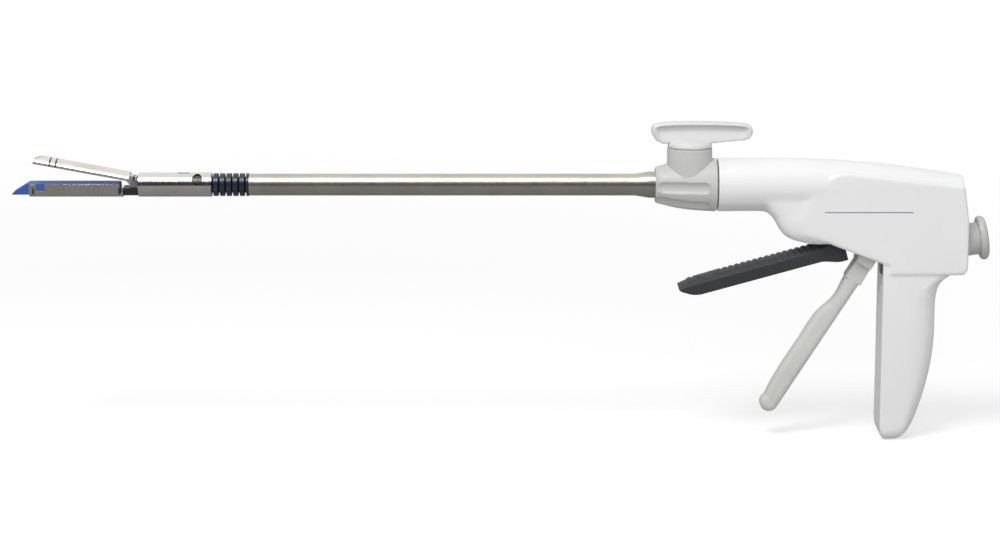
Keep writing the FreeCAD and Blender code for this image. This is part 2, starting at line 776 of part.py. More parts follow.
def housing_outside():
    outside = spine_solid(0.0, barrel_x.number)
    for piece in (rounded_slab(lobe_face(), value("lobe_half"), 4.0),
                  rounded_slab(panel_face(), value("panel_half"), 1.6),
                  rounded_slab(grip_face(), value("grip_half"), 6.0, grip_edge_rounded)):
        outside = outside.fuse(piece)
    return outside


def housing_cavity():
    """The room inside the walls, which ends behind the groove for the knob's flange."""
    wall = value("housing_wall")
    ring_end = barrel_x.number + FLANGE_GROOVE
    cavity = spine_solid(wall, ring_end)
    for face, half in ((lobe_face(), value("lobe_half")), (panel_face(), value("panel_half")),
                       (grip_face(), value("grip_half"))):
        cavity = cavity.fuse(hollow_slab(face, half, wall))
    ring = Part.makeBox(FLANGE_GROOVE + 2.0, THROUGH, THROUGH,
                        FreeCAD.Vector(barrel_x.number - 2.0, -THROUGH / 2, -THROUGH / 2))
    return cavity.cut(ring)


def housing_bosses():
    """Round bosses for the trigger pin, the gear axle and the five screws."""
    panel = value("panel_half")
    grip = value("grip_half")
    pin_start = value("slot_half") + value("joint_room")
    axle_start = value("gear_far") + 0.4
    bosses = []
    for side in (-1, 1):
        for z, near, radius in ((value("pivot_z"), pin_start, 4.5), (gear_centre_z(), axle_start, 3.0)):
            bosses.append(Part.makeCylinder(radius, panel - near - 0.7,
                                            vector(value("pivot_x"), z, side * near), ACROSS * side))
    for x, z in SCREW_PLACES:
        bosses.append(Part.makeCylinder(3.2, 2 * grip - 0.8, vector(x, z, 0.4 - grip), ACROSS))
    return bosses


def housing_mouth():
    """The slot under the body that the triggers swing in, with a shallow rest in the grip's front."""
    front = value("grip_front_x")
    corners = [(335.5, -46.0), (front - 0.01, -53.0), (front + 0.7, -52.6), (front + 0.7, -48.0),
               (front + 4.8, -47.0), (front + 4.8, -36.0), (front - 3.0, -30.0), (341.0, -27.0),
               (335.5, -30.4), (335.5, -46.0)]
    return slab(Part.Face(Part.makePolygon([vector(x, z) for x, z in corners])), value("slot_half"))


def housing_holes():
    """The mouth, the knob's bearing, the button's guide, the pin seats and the screw holes."""
    fit = value("running_fit")
    out = button_axis()
    centre = vector(value("button_x"), value("button_z"))
    hub_start = vector(barrel_x.number - 5.0, 0.0)
    pin_half = value("panel_half") - 1.5
    holes = [housing_mouth(),
             Part.makeCylinder(value("hub_radius") + fit, 20.0, hub_start, ALONG),
             Part.makeCylinder(value("button_stem_radius") + value("joint_room"), 30.0,
                               centre - out * 25.0, out)]
    for z, radius in ((value("pivot_z"), value("pivot_pin_radius")),
                      (gear_centre_z(), value("gear_axle_radius"))):
        holes.append(Part.makeCylinder(radius + fit, 2 * pin_half, vector(value("pivot_x"), z, -pin_half),
                                       ACROSS))
    for x, z in SCREW_PLACES:
        hole_end = SCREW_SEAT - SCREW_HOLE_LENGTH
        holes.append(Part.makeCylinder(SCREW_RADIUS + fit, SCREW_HOLE_LENGTH, vector(x, z, hole_end), ACROSS))
        holes.append(Part.makeCylinder(SCREW_HEAD_RADIUS + 0.2, THROUGH, vector(x, z, SCREW_SEAT), ACROSS))
    return holes


def make_housing():
    """The handle's two moulded half shells, with their seats, bosses and openings."""
    outside = housing_outside()
    shell = outside.cut(housing_cavity())
    for boss in housing_bosses():
        shell = shell.fuse(boss.common(outside))
    for hole in housing_holes():
        shell = shell.cut(hole)
    reach = 200.0
    for label, low in (("housing_left", -THROUGH), ("housing_right", 0.0)):
        keep = Part.makeBox(reach, THROUGH, 2 * reach, FreeCAD.Vector(barrel_x.number - 10.0, low, -reach))
        feature(label, max(shell.common(keep).Solids, key=lambda solid: solid.Volume))


def make_screws():
    """Socket-head screws that hold the two halves together from the far side."""
    screws = []
    for x, z in SCREW_PLACES:
        head = Part.makeCylinder(SCREW_HEAD_RADIUS, SCREW_HEAD_THICKNESS, vector(x, z, SCREW_SEAT), ACROSS)
        shank = Part.makeCylinder(SCREW_RADIUS, SCREW_LENGTH, vector(x, z, SCREW_SEAT - SCREW_LENGTH), ACROSS)
        socket_floor = SCREW_SEAT + SCREW_HEAD_THICKNESS - SOCKET_DEPTH
        socket = Part.makeCylinder(SOCKET_RADIUS, 2 * SOCKET_DEPTH, vector(x, z, socket_floor), ACROSS)
        screws.append(head.fuse(shank).cut(socket).removeSplitter())
    feature("housing_screws", Part.Compound(screws))


PRESSURE_ANGLE = 25.0
TOOTH_HEAD = 0.8
TOOTH_FOOT = 1.05
SECTOR_TEETH_CUT = 11


def gear_centre_z():
    """The height at which the pinion meshes with the firing trigger's sector."""
    module = value("sector_module")
    return value("pivot_z") + module * (value("sector_teeth") + value("pinion_teeth")) / 2


def half_angle(radius, module, teeth, backlash):
    """Half of a tooth's angle at a radius, for an involute tooth."""
    pressure = math.radians(PRESSURE_ANGLE)
    pitch_radius = module * teeth / 2
    base = pitch_radius * math.cos(pressure)
    spread = math.tan(pressure) - pressure
    at = max(radius, base)
    turn = math.acos(min(1.0, base / at))
    return math.pi / (2 * teeth) - backlash / (2 * pitch_radius) + spread - (math.tan(turn) - turn)


def toothed_edges(module, teeth, centres, backlash, centre):
    """The edges of a row of involute teeth, with the root arcs between them."""
    pitch_radius = module * teeth / 2
    tip = pitch_radius + TOOTH_HEAD * module
    root = pitch_radius - TOOTH_FOOT * module
    base = max(pitch_radius * math.cos(math.radians(PRESSURE_ANGLE)), root)
    radii = [root, base + 0.02 * module, (base + tip) / 2, tip]

    def point(radius, angle):
        return centre + vector(radius * math.cos(angle), radius * math.sin(angle))

    edges = []
    for index, angle in enumerate(centres):
        rising = [point(r, angle - half_angle(r, module, teeth, backlash)) for r in radii]
        falling = [point(r, angle + half_angle(r, module, teeth, backlash)) for r in reversed(radii)]
        for run in (rising, falling):
            edges.extend(Part.makeLine(a, b) for a, b in zip(run, run[1:]))
            if run is rising:
                edges.append(Part.Arc(rising[-1], point(tip, angle), falling[0]).toShape())
        if index + 1 < len(centres):
            following = centres[index + 1]
        else:
            following = centres[0] + 2 * math.pi
        step = (following - angle) / 2
        last_gap = index + 1 == len(centres) and abs(2 * step - 2 * math.pi / teeth) > 1e-6
        if not last_gap:
            start = falling[-1]
            end = point(root, following - half_angle(root, module, teeth, backlash))
            edges.append(Part.Arc(start, point(root, angle + step), end).toShape())
    return edges


def full_gear(module, teeth, phase, centre, near, far):
    """A whole toothed wheel between two depths."""
    pitch = 2 * math.pi / teeth
    centres = [phase + pitch * index for index in range(teeth)]
    face = Part.Face(Part.Wire(toothed_edges(module, teeth, centres, value("backlash"), centre)))
    face.translate(FreeCAD.Vector(0, near, 0))
    return face.extrude(FreeCAD.Vector(0, far - near, 0))


def make_gear_train():
    """Sector on the firing trigger, two-step gear on its axle and the rack below the big gear."""
    pivot = vector(value("pivot_x"), value("pivot_z"))
    centre = vector(value("pivot_x"), gear_centre_z())
    module = value("sector_module")
    teeth = int(value("sector_teeth"))
    pitch = 2 * math.pi / teeth
    hold = round(value("closing_angle") / math.degrees(pitch)) + 2
    leading = math.pi / 2 - hold * pitch
    centres = [leading - pitch * (SECTOR_TEETH_CUT - 1 - index) for index in range(SECTOR_TEETH_CUT)]
    edges = toothed_edges(module, teeth, centres, value("backlash"), pivot)
    first = edges[0].Vertexes[0].Point
    last = edges[-1].Vertexes[-1].Point
    edges.append(Part.makeLine(last, pivot))
    edges.append(Part.makeLine(pivot, first))
    half = value("sector_half")
    sector = slab(Part.Face(Part.Wire(edges)), half)
    hub = Part.makeCylinder(6.0, 2 * half, vector(pivot.x, pivot.z, -half), ACROSS)
    bore = Part.makeCylinder(value("pivot_pin_radius") + value("running_fit"), THROUGH,
                             vector(pivot.x, pivot.z, -THROUGH / 2), ACROSS)
    lightening = []
    for step in (0.28, 0.72):
        angle = centres[0] + (centres[-1] - centres[0]) * step
        spot = pivot + vector(15.5 * math.cos(angle), 15.5 * math.sin(angle))
        lightening.append(Part.makeCylinder(2.6, 10, vector(spot.x, spot.z, -5), ACROSS))
    sector = sector.fuse(hub).cut(Part.Compound([bore] + lightening)).removeSplitter()
    feature("sector_gear", sector, (pivot.x, 0, pivot.z))
    pinion_teeth = int(value("pinion_teeth"))
    gap_phase = -math.pi / 2 + math.pi / pinion_teeth
    pinion = full_gear(module, pinion_teeth, gap_phase, centre, -half - 0.3, value("gear_near"))
    rack_module = value("rack_module")
    gear_teeth = int(value("gear_teeth"))
    wheel = full_gear(rack_module, gear_teeth, -math.pi / 2, centre, value("gear_near"), value("gear_far"))
    gear = pinion.fuse(wheel)
    axle_hole = Part.makeCylinder(value("gear_axle_radius") + value("running_fit"), THROUGH,
                                  vector(centre.x, centre.z, -THROUGH / 2), ACROSS)
    feature("drive_gear", gear.cut(axle_hole).removeSplitter(), (centre.x, 0, centre.z))
    make_rack(centre)
    axle_half = value("panel_half") - 1.7
    node("gear_axle", cylinder(cell("gear_axle_radius"), axle_half * 2,
                               (cell("pivot_x"), -axle_half, centre.z), "Y"))
    node("trigger_pivot_pin", cylinder(cell("pivot_pin_radius"), axle_half * 2,
                                       (cell("pivot_x"), -axle_half, cell("pivot_z")), "Y"))


RACK_LENGTH = 58.0
RACK_BACK = 2.0


def make_rack(centre):
    """The toothed bar under the big gear and the long rod that it pushes."""
    module = value("rack_module")
    pitch = math.pi * module
    pitch_z = centre.z - module * value("gear_teeth") / 2
    tip = pitch_z + TOOTH_HEAD * module
    root = pitch_z - TOOTH_FOOT * module
    base = root - RACK_BACK
    front = centre.x - 19.0
    near, far = value("gear_near"), value("gear_far")
    slope = math.tan(math.radians(PRESSURE_ANGLE))
    half = pitch / 4 - value("backlash") / 2
    low_half = half + TOOTH_FOOT * module * slope
    high_half = half - TOOTH_HEAD * module * slope
    bar = Part.makeBox(RACK_LENGTH, far - near, root - base, FreeCAD.Vector(front, near, base))
    teeth = []
    middle = centre.x - 2.5 * pitch
    while middle < front + RACK_LENGTH - 2.0:
        corners = [(-low_half, root), (low_half, root), (high_half, tip), (-high_half, tip),
                   (-low_half, root)]
        face = Part.Face(Part.makePolygon([FreeCAD.Vector(middle + x, near, z) for x, z in corners]))
        teeth.append(face.extrude(ACROSS * (far - near)))
        middle += pitch
    # A lug joins the bar to the rod on the axis
    radius = value("rod_radius")
    lug = Part.makeBox(5.0, far + 2.5, 2.5 - base, FreeCAD.Vector(front, -2.5, base))
    feature("firing_rack", bar.fuse(teeth + [lug]).removeSplitter(), (front, 0, pitch_z))
    travel = 1.1 * value("sector_teeth") / value("pinion_teeth") * module * value("gear_teeth") / 2
    stroke = travel * math.radians(value("firing_angle"))
    rod_start = neck_end.number + 7.0 + stroke
    rod = Part.makeCylinder(radius, front - rod_start, vector(rod_start, 0.0), ALONG)
    feature("firing_rod", rod, (rod_start, 0, 0))


def lever_frame(lean):
    """The direction along a trigger from the pivot, and the one across it, upwards."""
    angle = math.radians(lean)
    along = vector(-math.cos(angle), -math.sin(angle))
    across = vector(-math.sin(angle), math.cos(angle))
    return along, across


def trigger_point(pivot, frame, reach, rise):
    return pivot + frame[0] * reach + frame[1] * rise


def make_firing_trigger():
    """The dark channel-shaped trigger with its ribbed finger face."""
    pivot = vector(value("pivot_x"), value("pivot_z"))
    frame = lever_frame(value("firing_lean"))
    half = value("firing_half")
    reach = value("firing_reach")
    start = value("firing_start")
    outer = value("cheek_outer")

    def p(along, rise):
        return trigger_point(pivot, frame, along, rise)

    tip_arc = Part.Arc(p(reach - 12.0, -half), p(reach - 3.6, -half + 3.2), p(reach, half - 1.6)).toShape()
    outline = Part.Wire([
        Part.makeLine(p(start, half), p(start, -half)),
        Part.makeLine(p(start, -half), p(reach - 12.0, -half)),
        tip_arc,
        Part.makeLine(p(reach, half - 1.6), p(reach - 5.0, half - 0.4)),
        Part.makeLine(p(reach - 5.0, half - 0.4), p(reach - 22.0, half)),
        Part.makeLine(p(reach - 22.0, half), p(start, half))])
    body = slab(Part.Face(outline), outer)
    # The hollow underneath takes the closing trigger at the end of the stroke
    inner = value("firing_inner")
    roof = half - 3.1
    hollow = Part.Face(Part.makePolygon([p(start - 1, roof), p(start - 1, -half - 1),
                                         p(reach - 14.0, -half - 1), p(reach - 8.0, roof),
                                         p(start - 1, roof)]))
    body = body.cut(slab(hollow, inner))
    # Finger ribs along the upper face
    ribs = []
    for step in range(20):
        along = start + 16.0 + step * 2.9
        spot = p(along, half)
        ribs.append(Part.makeCylinder(0.75, 2 * outer - 5.0, vector(spot.x, spot.z, 2.5 - outer),
                                      ACROSS))
    body = body.fuse(ribs)
    # The root arm runs back over the pin
    cheek = value("cheek_inner") - value("joint_room")
    arm = slab(Part.Face(Part.makePolygon([p(0, half), p(start + 1, half), p(start + 1, roof), p(0, roof),
                                           p(0, half)])), cheek)
    hub = Part.makeCylinder(6.0, 2 * cheek, vector(pivot.x, pivot.z, -cheek), ACROSS)
    room = value("sector_half") + value("running_fit")
    hub_room = Part.makeCylinder(11.0, 2 * room, vector(pivot.x, pivot.z, -room), ACROSS)
    bore = Part.makeCylinder(value("pivot_pin_radius") + value("running_fit"), THROUGH,
                             vector(pivot.x, pivot.z, -THROUGH / 2), ACROSS)
    root = arm.fuse(hub).cut(hub_room).cut(bore)
    feature("firing_trigger", body.fuse(root).removeSplitter(), (pivot.x, 0, pivot.z))


def make_closing_trigger():
    """The pale lever that hangs in front of the grip, with a forked root round the pin."""
    pivot = vector(value("pivot_x"), value("pivot_z"))
    frame = lever_frame(value("closing_lean"))
    half = value("closing_half")
    reach = value("closing_reach")
    inner, outer = value("cheek_inner"), value("cheek_outer")
    cheek_reach = value("cheek_reach")

    def p(along, rise):
        return trigger_point(pivot, frame, along, rise)

    neck = 23.0
    arm_face = Part.Face(Part.Wire([
        Part.makeLine(p(neck, 3.4), p(neck, -half)),
        Part.makeLine(p(neck, -half), p(reach - 5.0, -half + 0.6)),
        Part.Arc(p(reach - 5.0, -half + 0.6), p(reach, -0.6), p(reach - 7.0, half - 1.2)).toShape(),
        smooth_edge([(q.x, q.z) for q in (p(reach - 7.0, half - 1.2), p(reach - 20.0, half),
                                          p(62.0, half), p(48.0, half - 0.6), p(38.0, 2.2), p(30.0, 2.6),
                                          p(neck, 3.4))])]))
    side = inner - 0.1
    arm = slab(arm_face, side)
    arm = arm.makeFillet(3.2, rim_edges(arm, side))
    block = slab(Part.Face(Part.makePolygon([p(12.0, 3.4), p(12.0, -half), p(neck + 2.0, -half - 0.6),
                                             p(neck + 2.0, 3.4), p(12.0, 3.4)])), side)
    cheeks = slab(Part.Face(Part.makePolygon([p(-2.0, 4.6), p(-2.0, -half), p(cheek_reach - 1.0, -half),
                                              p(cheek_reach - 1.0, 3.4), p(8.0, 4.6), p(-2.0, 4.6)])), outer)
    disc = Part.makeCylinder(6.5, 2 * outer, vector(pivot.x, pivot.z, -outer), ACROSS)
    rise = value("link_pin_rise")
    horn = slab(Part.Face(Part.makePolygon([
        FreeCAD.Vector(pivot.x - 5.0, 0, pivot.z), FreeCAD.Vector(pivot.x + 5.0, 0, pivot.z),
        FreeCAD.Vector(pivot.x + 2.6, 0, pivot.z + rise), FreeCAD.Vector(pivot.x - 2.6, 0, pivot.z + rise),
        FreeCAD.Vector(pivot.x - 5.0, 0, pivot.z)])), outer)
    horn_top = Part.makeCylinder(2.6, 2 * outer, vector(pivot.x, pivot.z + rise, -outer), ACROSS)
    left_only = Part.makeBox(60, 40, 60, FreeCAD.Vector(pivot.x - 30, -40 - inner, pivot.z - 30))
    horn = horn.fuse(horn_top).common(left_only)
    forks = cheeks.fuse(disc)
    gap = Part.makeCylinder(11.8, 2 * inner, vector(pivot.x, pivot.z, -inner), ACROSS)
    forks = forks.cut(gap).fuse(horn)
    pin = Part.makeCylinder(value("link_pin_radius"), 3.6, vector(pivot.x, pivot.z + rise, -outer - 1.6),
                            ACROSS)
    bore = Part.makeCylinder(value("pivot_pin_radius") + value("running_fit"), THROUGH,
                             vector(pivot.x, pivot.z, -THROUGH / 2), ACROSS)
    body = arm.fuse([block, forks, pin]).cut(bore).removeSplitter()
    feature("closing_trigger", body, (pivot.x, 0, pivot.z))


LINK_THICKNESS = 1.3
LINK_EYE_RADIUS = 1.9
LINK_HALF_HEIGHT = 1.4


def make_closure_drive():
    """The yoke on the closure tube and the link that pushes it."""
    yoke_x = value("yoke_x")
    thick = value("yoke_thickness")
    fit = value("running_fit")
    pin_radius = value("link_pin_radius")
    # The link and the pins that it hangs on lie outside the closing trigger's left cheek
    link_low = -value("cheek_outer") - 1.6
    front_eye = vector(yoke_x + thick / 2, -3.0)
    rear_eye = vector(value("pivot_x"), value("pivot_z") + value("link_pin_rise"))
    plate = Part.makeCylinder(value("yoke_radius"), thick, vector(yoke_x, 0.0), ALONG)
    bore = Part.makeCylinder(value("closure_tube_radius") + fit, thick + 2, vector(yoke_x - 1, 0.0), ALONG)
    flat_depth = 6.0
    flat_low = FreeCAD.Vector(yoke_x - 1, -value("cheek_outer") - 0.2 - flat_depth, -THROUGH / 2)
    flat = Part.makeBox(thick + 2, flat_depth, THROUGH, flat_low)
    pin = Part.makeCylinder(pin_radius, 3.4, vector(front_eye.x, front_eye.z, link_low), ACROSS)
    feature("closure_yoke", plate.cut(bore).cut(flat).fuse(pin).removeSplitter(), (yoke_x, 0, 0))
    run = (front_eye - rear_eye).normalize()
    side = vector(-run.z, run.x) * LINK_HALF_HEIGHT
    link = Part.Face(Part.makePolygon([rear_eye + side, front_eye + side, front_eye - side,
                                       rear_eye - side, rear_eye + side]))
    link.translate(ACROSS * link_low)
    link = link.extrude(ACROSS * LINK_THICKNESS)
    holes = []
    # The front hole is wide, since its pin moves in a straight line with the tube
    for spot, room in ((rear_eye, fit), (front_eye, 0.6)):
        at = vector(spot.x, spot.z, link_low)
        link = link.fuse(Part.makeCylinder(LINK_EYE_RADIUS, LINK_THICKNESS, at, ACROSS))
        holes.append(Part.makeCylinder(pin_radius + room, 5.0, at - ACROSS, ACROSS))
    feature("closure_link", link.cut(Part.Compound(holes)).removeSplitter(), (rear_eye.x, 0, rear_eye.z))


def button_axis():
    """The way the button points: backwards and slightly up."""
    tilt = math.radians(value("button_tilt"))
    return vector(math.cos(tilt), math.sin(tilt))


def make_release_button():
    """The anvil release button: a rounded cap on a round stem with a thin guide."""
    out = button_axis()
    centre = vector(value("button_x"), value("button_z"))
    thick = value("button_thickness")
    cap = Part.makeCylinder(value("button_radius"), thick, centre, out)
    rims = [edge for edge in cap.Edges if len(edge.Vertexes) == 1]
    cap = cap.makeFillet(1.9, rims)
    stem = Part.makeCylinder(value("button_stem_radius"), 12.0, centre - out * 12.0, out)
    guide = Part.makeCylinder(3.0, 6.0, centre - out * 18.0, out)
    feature("release_button", cap.fuse([stem, guide]).removeSplitter(), tuple(centre))


make_end_effector()
make_neck()
make_shaft()
make_knob()
make_lever()
make_gear_train()
make_firing_trigger()
make_closing_trigger()
make_closure_drive()
make_release_button()
make_housing()
make_screws()

doc.recompute()
for item in doc.Objects:
    if "Invalid" in item.State or "Error" in item.State:
        raise RuntimeError("failed: %s %s %s" % (item.Name, item.Label, item.State))

os.makedirs("parts", exist_ok=True)
for item in finished:
    shape = item.Shape
    if shape.isNull() or not shape.isValid():
        raise RuntimeError("bad shape: " + item.Label)
    shape.exportStep("parts/%s.step" % item.Label)
    print("%-26s %d solid(s) %10.1f mm3" % (item.Label, len(shape.Solids), shape.Volume))
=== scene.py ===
# %% [markdown]
# # A linear cutter with a bending neck
# This lesson dresses a packed CAD model of a long surgical instrument. The CAD model is the
# frame: it says where every piece is and what moves it. Each cell takes one piece or one
# finish of the real object, says how it could be made, and makes it.

# %% Load the frame
import math

import bmesh
import bpy
from mathutils import Matrix, Vector


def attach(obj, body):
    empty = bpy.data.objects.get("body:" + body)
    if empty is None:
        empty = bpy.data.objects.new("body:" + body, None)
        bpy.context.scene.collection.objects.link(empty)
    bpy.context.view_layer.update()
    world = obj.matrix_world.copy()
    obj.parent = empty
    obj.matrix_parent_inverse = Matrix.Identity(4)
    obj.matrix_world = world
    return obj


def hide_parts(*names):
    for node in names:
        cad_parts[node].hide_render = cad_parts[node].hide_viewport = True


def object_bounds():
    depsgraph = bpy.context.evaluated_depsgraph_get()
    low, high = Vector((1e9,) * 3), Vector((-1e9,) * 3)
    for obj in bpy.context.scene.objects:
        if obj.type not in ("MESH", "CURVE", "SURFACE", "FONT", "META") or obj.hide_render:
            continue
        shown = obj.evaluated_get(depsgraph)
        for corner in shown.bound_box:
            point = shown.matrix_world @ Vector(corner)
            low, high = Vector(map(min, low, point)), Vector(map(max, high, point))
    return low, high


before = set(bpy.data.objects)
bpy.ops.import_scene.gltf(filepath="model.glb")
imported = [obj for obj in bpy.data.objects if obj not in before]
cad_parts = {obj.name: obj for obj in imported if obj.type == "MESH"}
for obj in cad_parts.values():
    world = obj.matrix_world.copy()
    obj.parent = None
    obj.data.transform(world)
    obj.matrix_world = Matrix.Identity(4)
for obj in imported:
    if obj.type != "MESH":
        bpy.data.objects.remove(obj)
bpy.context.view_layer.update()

# %% [markdown]
# ## Units and small tools
# Blender works in metres and the instrument is drawn in millimetres, so every new piece is
# modelled in millimetres and scaled down at the very end. The moulded pieces of the real
# handle have no sharp edge anywhere. The easiest way to that look is to pour the CAD shape
# into a fine grid of voxels and relax the result, as sandpaper would.

# %% Units
MM = 0.001
scene = bpy.context.scene


def smoothstep(value, start, end):
    """Nought up to the start, one from the end on, and a soft curve between them."""
    t = min(1.0, max(0.0, (value - start) / (end - start)))
    return t * t * (3 - 2 * t)


def through_stations(value, stations):
    """A value read off a short list of stations, straight between them."""
    for (a, at_a), (b, at_b) in zip(stations, stations[1:]):
        if value <= b:
            return at_a + (at_b - at_a) * max(0.0, (value - a) / (b - a))
    return stations[-1][1]


print("one unit of the pieces below is", MM, "m")

# %% Copy, merge and soften CAD shapes
MERGE_DISTANCE = 0.001
RELAX_FACTOR = 0.5


def merged_nodes(*nodes):
    """One bmesh of some nodes, in millimetres, with the doubled corners merged."""
    bm = bmesh.new()
    for node in nodes:
        bm.from_mesh(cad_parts[node].data)
    bmesh.ops.scale(bm, vec=(1 / MM, 1 / MM, 1 / MM), verts=bm.verts)
    bmesh.ops.remove_doubles(bm, verts=bm.verts, dist=MERGE_DISTANCE)
    return bm


def to_mesh(bm, name):
    """Turns a bmesh into a mesh and lets the bmesh go."""
    mesh = bpy.data.meshes.new(name)
    bm.to_mesh(mesh)
    bm.free()
    return mesh


def remeshed(bm, voxel, rounds):
    """The same shape poured into voxels of one size and then relaxed."""
    draft = bpy.data.objects.new("draft", to_mesh(bm, "draft"))
    scene.collection.objects.link(draft)
    remesh = draft.modifiers.new("Pour into voxels", "REMESH")
    remesh.mode = "VOXEL"
    remesh.voxel_size = voxel
    soften = draft.modifiers.new("Soften", "SMOOTH")
    soften.factor = RELAX_FACTOR
    soften.iterations = rounds
    graph = bpy.context.evaluated_depsgraph_get()
    result = bmesh.new()
    result.from_object(draft, graph)
    bpy.data.objects.remove(draft)
    return result


def relax(bm, inside, rounds):
    """Smooths only the corners for which inside(point) is true."""
    chosen = [vert for vert in bm.verts if inside(vert.co)]
    for _ in range(rounds):
        bmesh.ops.smooth_vert(bm, verts=chosen, factor=RELAX_FACTOR,
                              use_axis_x=True, use_axis_y=True, use_axis_z=True)


def finish_piece(name, bm, body, material, sharp=35.0):
    """Turns a bmesh in millimetres into a shown piece that rides on a body."""
    bmesh.ops.scale(bm, vec=(MM, MM, MM), verts=bm.verts)
    mesh = to_mesh(bm, name)
    mesh.shade_smooth()
    mesh.set_sharp_from_angle(angle=math.radians(sharp))
    mesh.materials.append(material)
    piece = bpy.data.objects.new(name, mesh)
    scene.collection.objects.link(piece)
    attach(piece, body)
    print(name, "has", len(mesh.polygons), "faces and rides on", body)
    return piece


print("corners nearer than", MERGE_DISTANCE, "mm are merged")

# %% [markdown]
# ## The camera
# The photograph shows the instrument from its left side and a little above, so the tops of
# the lever, the trigger and the cartridge can be seen. The long lens stands near enough to
# show a strip of the grip's front too. It isn't shifted, so other views keep their framing.

# %% Camera
DISTANCE = 1.5
FRAME_WIDTH = 0.525
SENSOR = 36.0
FRAME_CENTRE = Vector((0.1692, 0.0, -0.0507))
ELEVATION = math.radians(11.0)

camera_data = bpy.data.cameras.new("camera")
camera_data.sensor_width = SENSOR
camera_data.lens = SENSOR * DISTANCE / FRAME_WIDTH
camera = bpy.data.objects.new("camera", camera_data)
to_camera = Vector((0, -math.cos(ELEVATION), math.sin(ELEVATION)))
camera.location = FRAME_CENTRE + DISTANCE * to_camera
camera.rotation_euler = (math.radians(90) - ELEVATION, 0, 0)
scene.collection.objects.link(camera)
scene.camera = camera
scene.view_settings.view_transform = "Standard"
print("lens", round(camera_data.lens, 1), "mm, seen from", round(math.degrees(ELEVATION)),
      "degrees above")

# %% [markdown]
# ## Finishes
# Every finish is a node material on Object coordinates, so that it stays put when the piece
# moves. Moulded plastic has a very fine spark-eroded grain and a slight change of tone over
# the hand-wide areas. Steel is told apart by its last machining: polished jaws, a turned
# sleeve and a bead-blasted shaft.

# %% Node helpers
def linear(red, green, blue):
    """A colour picked as 0 to 255 from a screen, as the shader wants it."""
    tones = []
    for tone in (red, green, blue):
        level = tone / 255
        tones.append(level / 12.92 if level <= 0.04045 else ((level + 0.055) / 1.055) ** 2.4)
    return (*tones, 1.0)


NOISE_LOW, NOISE_HIGH = 0.3, 0.7


class Finish:
    """A material with its Principled shader and a few shortcuts for its nodes."""

    def __init__(self, name, roughness, metallic=0.0):
        self.material = bpy.data.materials.new(name)
        self.material.use_nodes = True
        self.nodes = self.material.node_tree.nodes
        self.links = self.material.node_tree.links
        self.shader = self.nodes["Principled BSDF"]
        self.shader.inputs["Roughness"].default_value = roughness
        self.shader.inputs["Metallic"].default_value = metallic
        self.place = self.nodes.new("ShaderNodeTexCoord").outputs["Object"]

    def noise(self, scale, detail=2.0, stretch=(1, 1, 1)):
        """A cloudy pattern, finer along an axis that is stretched more."""
        mapping = self.nodes.new("ShaderNodeMapping")
        mapping.inputs["Scale"].default_value = stretch
        self.links.new(self.place, mapping.inputs["Vector"])
        node = self.nodes.new("ShaderNodeTexNoise")
        node.inputs["Scale"].default_value = scale
        node.inputs["Detail"].default_value = detail
        self.links.new(mapping.outputs["Vector"], node.inputs["Vector"])
        return node.outputs["Fac"]

    def math(self, operation, first, second=0.0):
        """One sum, of numbers or of other nodes' results."""
        node = self.nodes.new("ShaderNodeMath")
        node.operation = operation
        for socket, value in zip(node.inputs, (first, second)):
            if isinstance(value, (int, float)):
                socket.default_value = value
            else:
                self.links.new(value, socket)
        return node.outputs["Value"]

    def axis(self, letter, vector=None):
        """One coordinate of the place, or of another vector."""
        node = self.nodes.new("ShaderNodeSeparateXYZ")
        self.links.new(vector or self.place, node.inputs["Vector"])
        return node.outputs[letter]

    def between(self, value, low, high):
        """One inside the two limits and nought outside."""
        above = self.math("GREATER_THAN", value, low)
        below = self.math("LESS_THAN", value, high)
        return self.math("MULTIPLY", above, below)

    def spread(self, value, low, high):
        """A noise, which keeps near its middle, brought to another range."""
        node = self.nodes.new("ShaderNodeMapRange")
        limits = {"From Min": NOISE_LOW, "From Max": NOISE_HIGH, "To Min": low, "To Max": high}
        for socket, limit in limits.items():
            node.inputs[socket].default_value = limit
        self.links.new(value, node.inputs["Value"])
        return node.outputs["Result"]

    def mix(self, share, first, second):
        """A blend of two colours, each a tuple or another node's result."""
        node = self.nodes.new("ShaderNodeMix")
        node.data_type = "RGBA"
        self.links.new(share, node.inputs["Factor"])
        for socket, colour in ((node.inputs["A"], first), (node.inputs["B"], second)):
            if isinstance(colour, tuple):
                socket.default_value = colour
            else:
                self.links.new(colour, socket)
        return node.outputs["Result"]

    def colour(self, output):
        self.links.new(output, self.shader.inputs["Base Color"])

    def roughness(self, output):
        self.links.new(output, self.shader.inputs["Roughness"])

    def painted(self):
        """What colours the finish so far."""
        return self.shader.inputs["Base Color"].links[0].from_socket

    def bump(self, height, depth, strength=1.0):
        """Adds a relief, measured in millimetres, under what is already there."""
        node = self.nodes.new("ShaderNodeBump")
        node.inputs["Distance"].default_value = depth * MM
        node.inputs["Strength"].default_value = strength
        self.links.new(height, node.inputs["Height"])
        socket = self.shader.inputs["Normal"]
        if socket.is_linked:
            self.links.new(socket.links[0].from_socket, node.inputs["Normal"])
        self.links.new(node.outputs["Normal"], socket)


print("node helpers:", [name for name in vars(Finish) if not name.startswith("_")])

# %% Moulded plastics
GRAIN = 1400.0
MOTTLE = 22.0


def moulded(name, light, dark, roughness=0.42, grain=0.06):
    """Grained plastic whose tone wanders a little between two near colours."""
    finish = Finish(name, roughness)
    finish.colour(finish.mix(finish.spread(finish.noise(MOTTLE, 3.0), 0.0, 1.0), light, dark))
    finish.roughness(finish.spread(finish.noise(GRAIN / 3), roughness - 0.05, roughness + 0.07))
    finish.bump(finish.noise(GRAIN, 3.0), grain, 0.35)
    return finish


